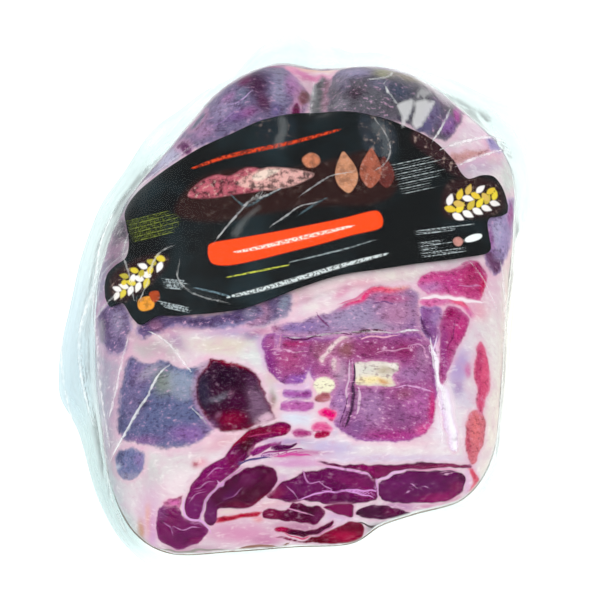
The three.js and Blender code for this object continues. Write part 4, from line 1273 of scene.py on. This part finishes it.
def make_ham(material):
    """The ham: the pack's form set in under the film, with the muscles' relief, small bumps and
    the seams' grooves, and nowhere nearer to the film than the least gap."""
    points, quads, tris, tuck = closed_pack()
    normals = face_normals(points, quads, tris)
    nearest_edge = smooth(-0.45, -0.05, tuck) * (1 - smooth(0.0, 0.5, tuck))
    inset = mix(MEAT_UNDER_FILM, EDGE_UNDER_FILM, nearest_edge)
    base = points - normals * inset[:, None]
    places = picture(base)
    places = places + 0.8 * np.column_stack([rumple(base, FINE_BUMPS, 11), rumple(base, FINE_BUMPS, 12)])
    shapes = CUT_MUSCLES + TOP_MUSCLES + FAR_MUSCLES + TENDONS
    numbers, colours, marbling, relief = lay_shapes(places, shapes)
    offset, away, line_colour = lay_lines(places, SEAMS, FAT_GROUND)
    fat = tinted(np.tile(linear(FAT_GROUND), (len(places), 1)), places, FAT_TINTS) * FAT_UNDER_FILM
    unseen = 1 - smooth(*MEAT_IN_SIGHT, normals @ TOWARD_CAMERA)
    bumps = relief * (1 - unseen) + 0.22 * rumple(base, BROAD_BUMPS, 13)
    bumps = bumps + 0.12 * rumple(base, FINE_BUMPS, 14)
    groove = GROOVE_DEPTH * np.exp(-(away / GROOVE_HALF_WIDTH) ** 2) * (1 - unseen)
    lifted = np.minimum(bumps - groove, inset - LEAST_UNDER_FILM)
    points = base + normals * np.maximum(lifted, -DEEPEST_DENT)[:, None]
    points[:, 2] = np.maximum(points[:, 2], LOWEST_MEAT)
    # Painted light: the meat just below the edge is whitened where it lies in shade between the webs
    painted_light_below_edge = smooth(-0.02, 0.03, tuck) * (1 - smooth(0.7, 1.0, tuck))
    numbers.update(line_offset=offset, line_away=away, marbling=mix(marbling, 0.5, unseen), unseen=unseen,
                   rind=smooth(0.2, 0.8, tuck), edge=painted_light_below_edge)
    colours.update(fat=fat, line_colour=line_colour)
    return make_piece("ham", points, quads, tris, material, numbers, colours)


# The film, in two webs sealed together round the margin; lengths in millimetres
LABEL_BULGE = 1.9
FILM_HALF_GAP = 0.3
FILM_OFF_TABLE = 0.15
FILM_OFF_MEAT = 0.1
FILM_IN_SIGHT = (0.0, 0.15)
CREASE_FOOT = 1.5
LEAST_HAZE = 0.003
MOST_HAZE = 0.95


def slack_haze(points, places, margin, cut):
    """The haze of film that doesn't lie against meat: in soft bands along the margin, stronger
    at its seal, weak on the cut's side, and weaker at the far right, where the film is flat."""
    band = np.sin(2 * np.pi * (2.6 * margin + 0.5 * rumple(points, 60.0, 21)) + 1.0)
    slack = 0.40 + 0.12 * band + 0.08 * rumple(points * np.array([1.0, 0.4, 1.0]), 9.0, 22)
    slack = slack + 0.14 * smooth(0.86, 0.93, margin)
    strength = mix(smooth(-0.25, 0.06, margin), 0.25 * smooth(0, 0.5, margin), cut)
    flat = smooth(470, 505, places[:, 0]) * smooth(150, 260, places[:, 1]) * smooth(0.3, 0.7, margin)
    return slack * strength * (1 - 0.7 * flat)


def film_fields(points, normals, margin, cut):
    """The film's creases and haze at its points, how far it stands out and its tint, from the share
    of margin, less than 0 over the last of the meat, and the share of cut face."""
    places = picture(points)
    lines = [(width, "#ffffff", line) for width, _, _, line in CREASES]
    offset, away, _ = lay_lines(places, lines, "#ffffff")
    shown = smooth(*FILM_IN_SIGHT, normals @ TOWARD_CAMERA)
    lift, white, glint = np.zeros(len(points)), np.zeros(len(points)), np.zeros(len(points))
    for width, height, whiteness, line in CREASES:
        near, gap, _, share = line_offset(places, line, LINE_REACH)
        fade = np.sin(np.pi * np.clip(share, 0.01, 0.99)) ** 0.5
        lift[near] = np.maximum(lift[near], height * fade * np.exp(-(gap / (CREASE_FOOT * width)) ** 2))
        closest = gap <= away[near] + 1e-6
        white[near[closest]] = whiteness
    # Glints are painted highlights: white haze laid where the film catches the light
    for strength, soft, outline in GLINTS:
        glint = np.maximum(glint, strength * smooth(-soft, soft, inside_distance(places, outline)))
    glint = glint * shown
    haze = np.maximum(glint, np.maximum(slack_haze(points, places, margin, cut), LEAST_HAZE))
    tint = mix(linear("#fdfffe"), linear("#f4faf9"), smooth(0, 0.3, margin)[:, None])
    tint = tinted(tint, places, FILM_TINTS)
    numbers = dict(line_offset=offset, line_away=away, whiteness=white * shown, glint=glint,
                   haze=np.minimum(haze, MOST_HAZE))
    return numbers, lift * shown, tint


def make_upper_web(material):
    """The upper web: over the meat, bulged where the label lies under it, and out to the seal."""
    meat_rings = SLAB_RINGS + SHOULDER_RINGS
    ring, turn, quads, _ = disc_grid(meat_rings + MARGIN_RINGS)
    here = stations_at(turn)
    margin = np.clip((ring - meat_rings) / MARGIN_RINGS, 0, 1)
    points = top_points(ring_share(np.minimum(ring, meat_rings), here), here)
    out = ring > meat_rings
    points[out] = margin_points(margin[out], here[out], turn[out]) + np.array([0, 0, FILM_HALF_GAP])
    normals = face_normals(points, quads)
    label_outline = np.concatenate([LABEL_NEAR, LABEL_FAR[::-1]])
    over = smooth(-5.5, -0.6, inside_distance(points[:, 0:2], label_outline, 9.0))
    points = points + normals * (LABEL_BULGE * over)[:, None]
    over_meat = np.minimum((ring - meat_rings) / SHOULDER_RINGS, 0)
    numbers, lift, tint = film_fields(points, normals, margin + over_meat, here[:, 4])
    wrinkles = 0.10 * rumple(points * np.array([1.0, 0.45, 1.0]), 8.0, 23) * smooth(0, 0.1, 1 - margin)
    points = points + normals * (lift + wrinkles + FILM_OFF_MEAT)[:, None]
    return make_piece("film_upper_web", points, quads, None, material, numbers, dict(tint=tint))


def make_lower_web(material):
    """The lower web: the margin from its tip in to the meat, down the side and in to a pole."""
    around = 8 * (SLAB_RINGS + SHOULDER_RINGS + MARGIN_RINGS)
    turn = np.arange(around) / around
    here = stations_at(turn)
    points, margin = [], []
    for k in range(MARGIN_RINGS, -1, -2):
        share = k / MARGIN_RINGS
        gap = FILM_HALF_GAP * (1 - 2 * smooth(0, 0.12, 1 - share))
        points.append(margin_points(np.full(around, share), here, turn) + np.array([0, 0, gap]))
        margin.append(np.full(around, share))
    for k in range(1, TUCK_RINGS + 1):
        points.append(tuck_points(np.full(around, k / TUCK_RINGS), here))
        points[-1][:, 2] = np.maximum(points[-1][:, 2], FILM_OFF_TABLE)
    flat = points[-1]
    pole = np.array([*MIDDLE, FILM_OFF_TABLE])
    for k in range(1, UNDER_RINGS):
        points.append(mix(flat, pole, k / UNDER_RINGS))
    rows = [k * around + np.arange(around) for k in range(len(points))]
    margin = np.concatenate(margin + [-np.ones((len(rows) - len(margin)) * around + 1)])
    points = np.concatenate(points + [pole[None]])
    quads = strips(rows, downward=False)
    tris = fan(rows[-1], len(points) - 1)
    normals = face_normals(points, quads, tris)
    cut = np.append(np.tile(here[:, 4], len(rows)), 0.0)
    numbers, _, tint = film_fields(points, normals, margin, cut)
    return make_piece("film_lower_web", points, quads, tris, material, numbers, dict(tint=tint))


# The card label

def make_label(material):
    """The label ruled between its near and far edges in columns evenly far apart, as two faces
    with a rim between them."""
    fine = np.linspace(0, 1, 1000)
    middle = (along_curve(LABEL_NEAR, fine) + along_curve(LABEL_FAR, fine)) / 2
    travelled = np.append(0, np.cumsum(np.linalg.norm(np.diff(middle, axis=0), axis=1)))
    even = np.interp(np.linspace(0, travelled[-1], LABEL_COLUMNS + 1), travelled, fine)
    u, v = np.meshgrid(even, np.linspace(0, 1, LABEL_ROWS + 1), indexing="ij")
    u, v = u.ravel(), v.ravel()
    plan = mix(along_curve(LABEL_NEAR, u), along_curve(LABEL_FAR, u), v[:, None])
    under = over_top(plan[:, 0], plan[:, 1], LABEL_CLEARANCE)
    over = over_top(plan[:, 0], plan[:, 1], LABEL_CLEARANCE + LABEL_THICKNESS)
    side = LABEL_ROWS + 1
    corner = (np.arange(LABEL_COLUMNS)[:, None] * side + np.arange(LABEL_ROWS)).ravel()
    top = np.stack([corner, corner + side, corner + side + 1, corner + 1], 1)
    below = top[:, ::-1] + len(over)
    columns, across = np.arange(LABEL_COLUMNS + 1) * side, np.arange(side)
    rim = np.concatenate([columns, columns[-1] + across[1:], columns[-2::-1] + side - 1, across[-2:0:-1]])
    quads = np.concatenate([top, below, strips([rim, rim + len(over)], downward=False)])
    points = np.concatenate([over, under])
    places = picture(points)
    numbers, colours, grain, _ = lay_shapes(places, PRINT + spray_leaves())
    offset, away, line_colour = lay_lines(places, RULES + broken_rules(), "#0c1014")
    numbers.update(line_offset=offset, line_away=away, grain=grain)
    colours.update(line_colour=line_colour)
    return make_piece("label_card", points, quads, None, material, numbers, colours)


# The camera, the lights and the floor, in metres
FLOOR_HALF = 4.0
FLOOR_DROP = 0.0004
PACK_MIDDLE = Vector((0, 0, 0.03))


def make_camera():
    camera = put("camera", bpy.data.cameras.new("camera"))
    camera.data.sensor_width = SENSOR_MM
    camera.data.lens = CAMERA_DISTANCE / PIXEL_MM * SENSOR_MM / PICTURE_SIZE
    across = PIXEL_MM * (PICTURE_SIZE / 2 - AIM_PIXEL[0])
    up = PIXEL_MM * (AIM_PIXEL[1] - PICTURE_SIZE / 2)
    middle = AIM - PLAN_CENTRE + np.array([across, 0, 0]) + PICTURE_UP * up
    camera.location = Vector((middle + TOWARD_CAMERA * CAMERA_DISTANCE) * MM)
    camera.rotation_euler = (math.pi / 2 - CAMERA_ELEVATION, 0, 0)
    bpy.context.scene.camera = camera


def make_softbox(name, place, size, watts):
    data = bpy.data.lights.new(name, "AREA")
    data.shape = "RECTANGLE"
    data.size, data.size_y = size
    data.energy = watts
    light = put(name, data)
    light.location = place
    light.rotation_euler = (PACK_MIDDLE - Vector(place)).to_track_quat("-Z", "Y").to_euler()


def make_studio():
    world = bpy.data.worlds.new("studio")
    world.use_nodes = True
    background = world.node_tree.nodes["Background"]
    background.inputs["Color"].default_value = linear("#ffffff")
    background.inputs["Strength"].default_value = 1.0
    bpy.context.scene.world = world
    make_softbox("key", (-0.55, -0.45, 1.00), (0.9, 0.7), 3.4)
    make_softbox("fill", (0.60, -0.40, 0.90), (0.8, 0.7), 2.2)
    make_softbox("strip", (-0.30, 0.85, 0.80), (0.6, 0.02), 2.0)
    mesh = bpy.data.meshes.new("floor")
    around = ((-1, -1), (1, -1), (1, 1), (-1, 1))
    corners = [(x * FLOOR_HALF, y * FLOOR_HALF, -FLOOR_DROP) for x, y in around]
    mesh.from_pydata(corners, [], [(0, 1, 2, 3)])
    mesh.materials.append(white_board())
    floor = put("floor", mesh)


bpy.context.scene.view_settings.view_transform = "Standard"
make_camera()
film = vacuum_film()
ham = make_ham(cured_meat())
upper_web = make_upper_web(film)
lower_web = make_lower_web(film)
label_card = make_label(printed_card())
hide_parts("bag")
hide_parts("bag")
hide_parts("bag")
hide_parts("label")
make_studio()
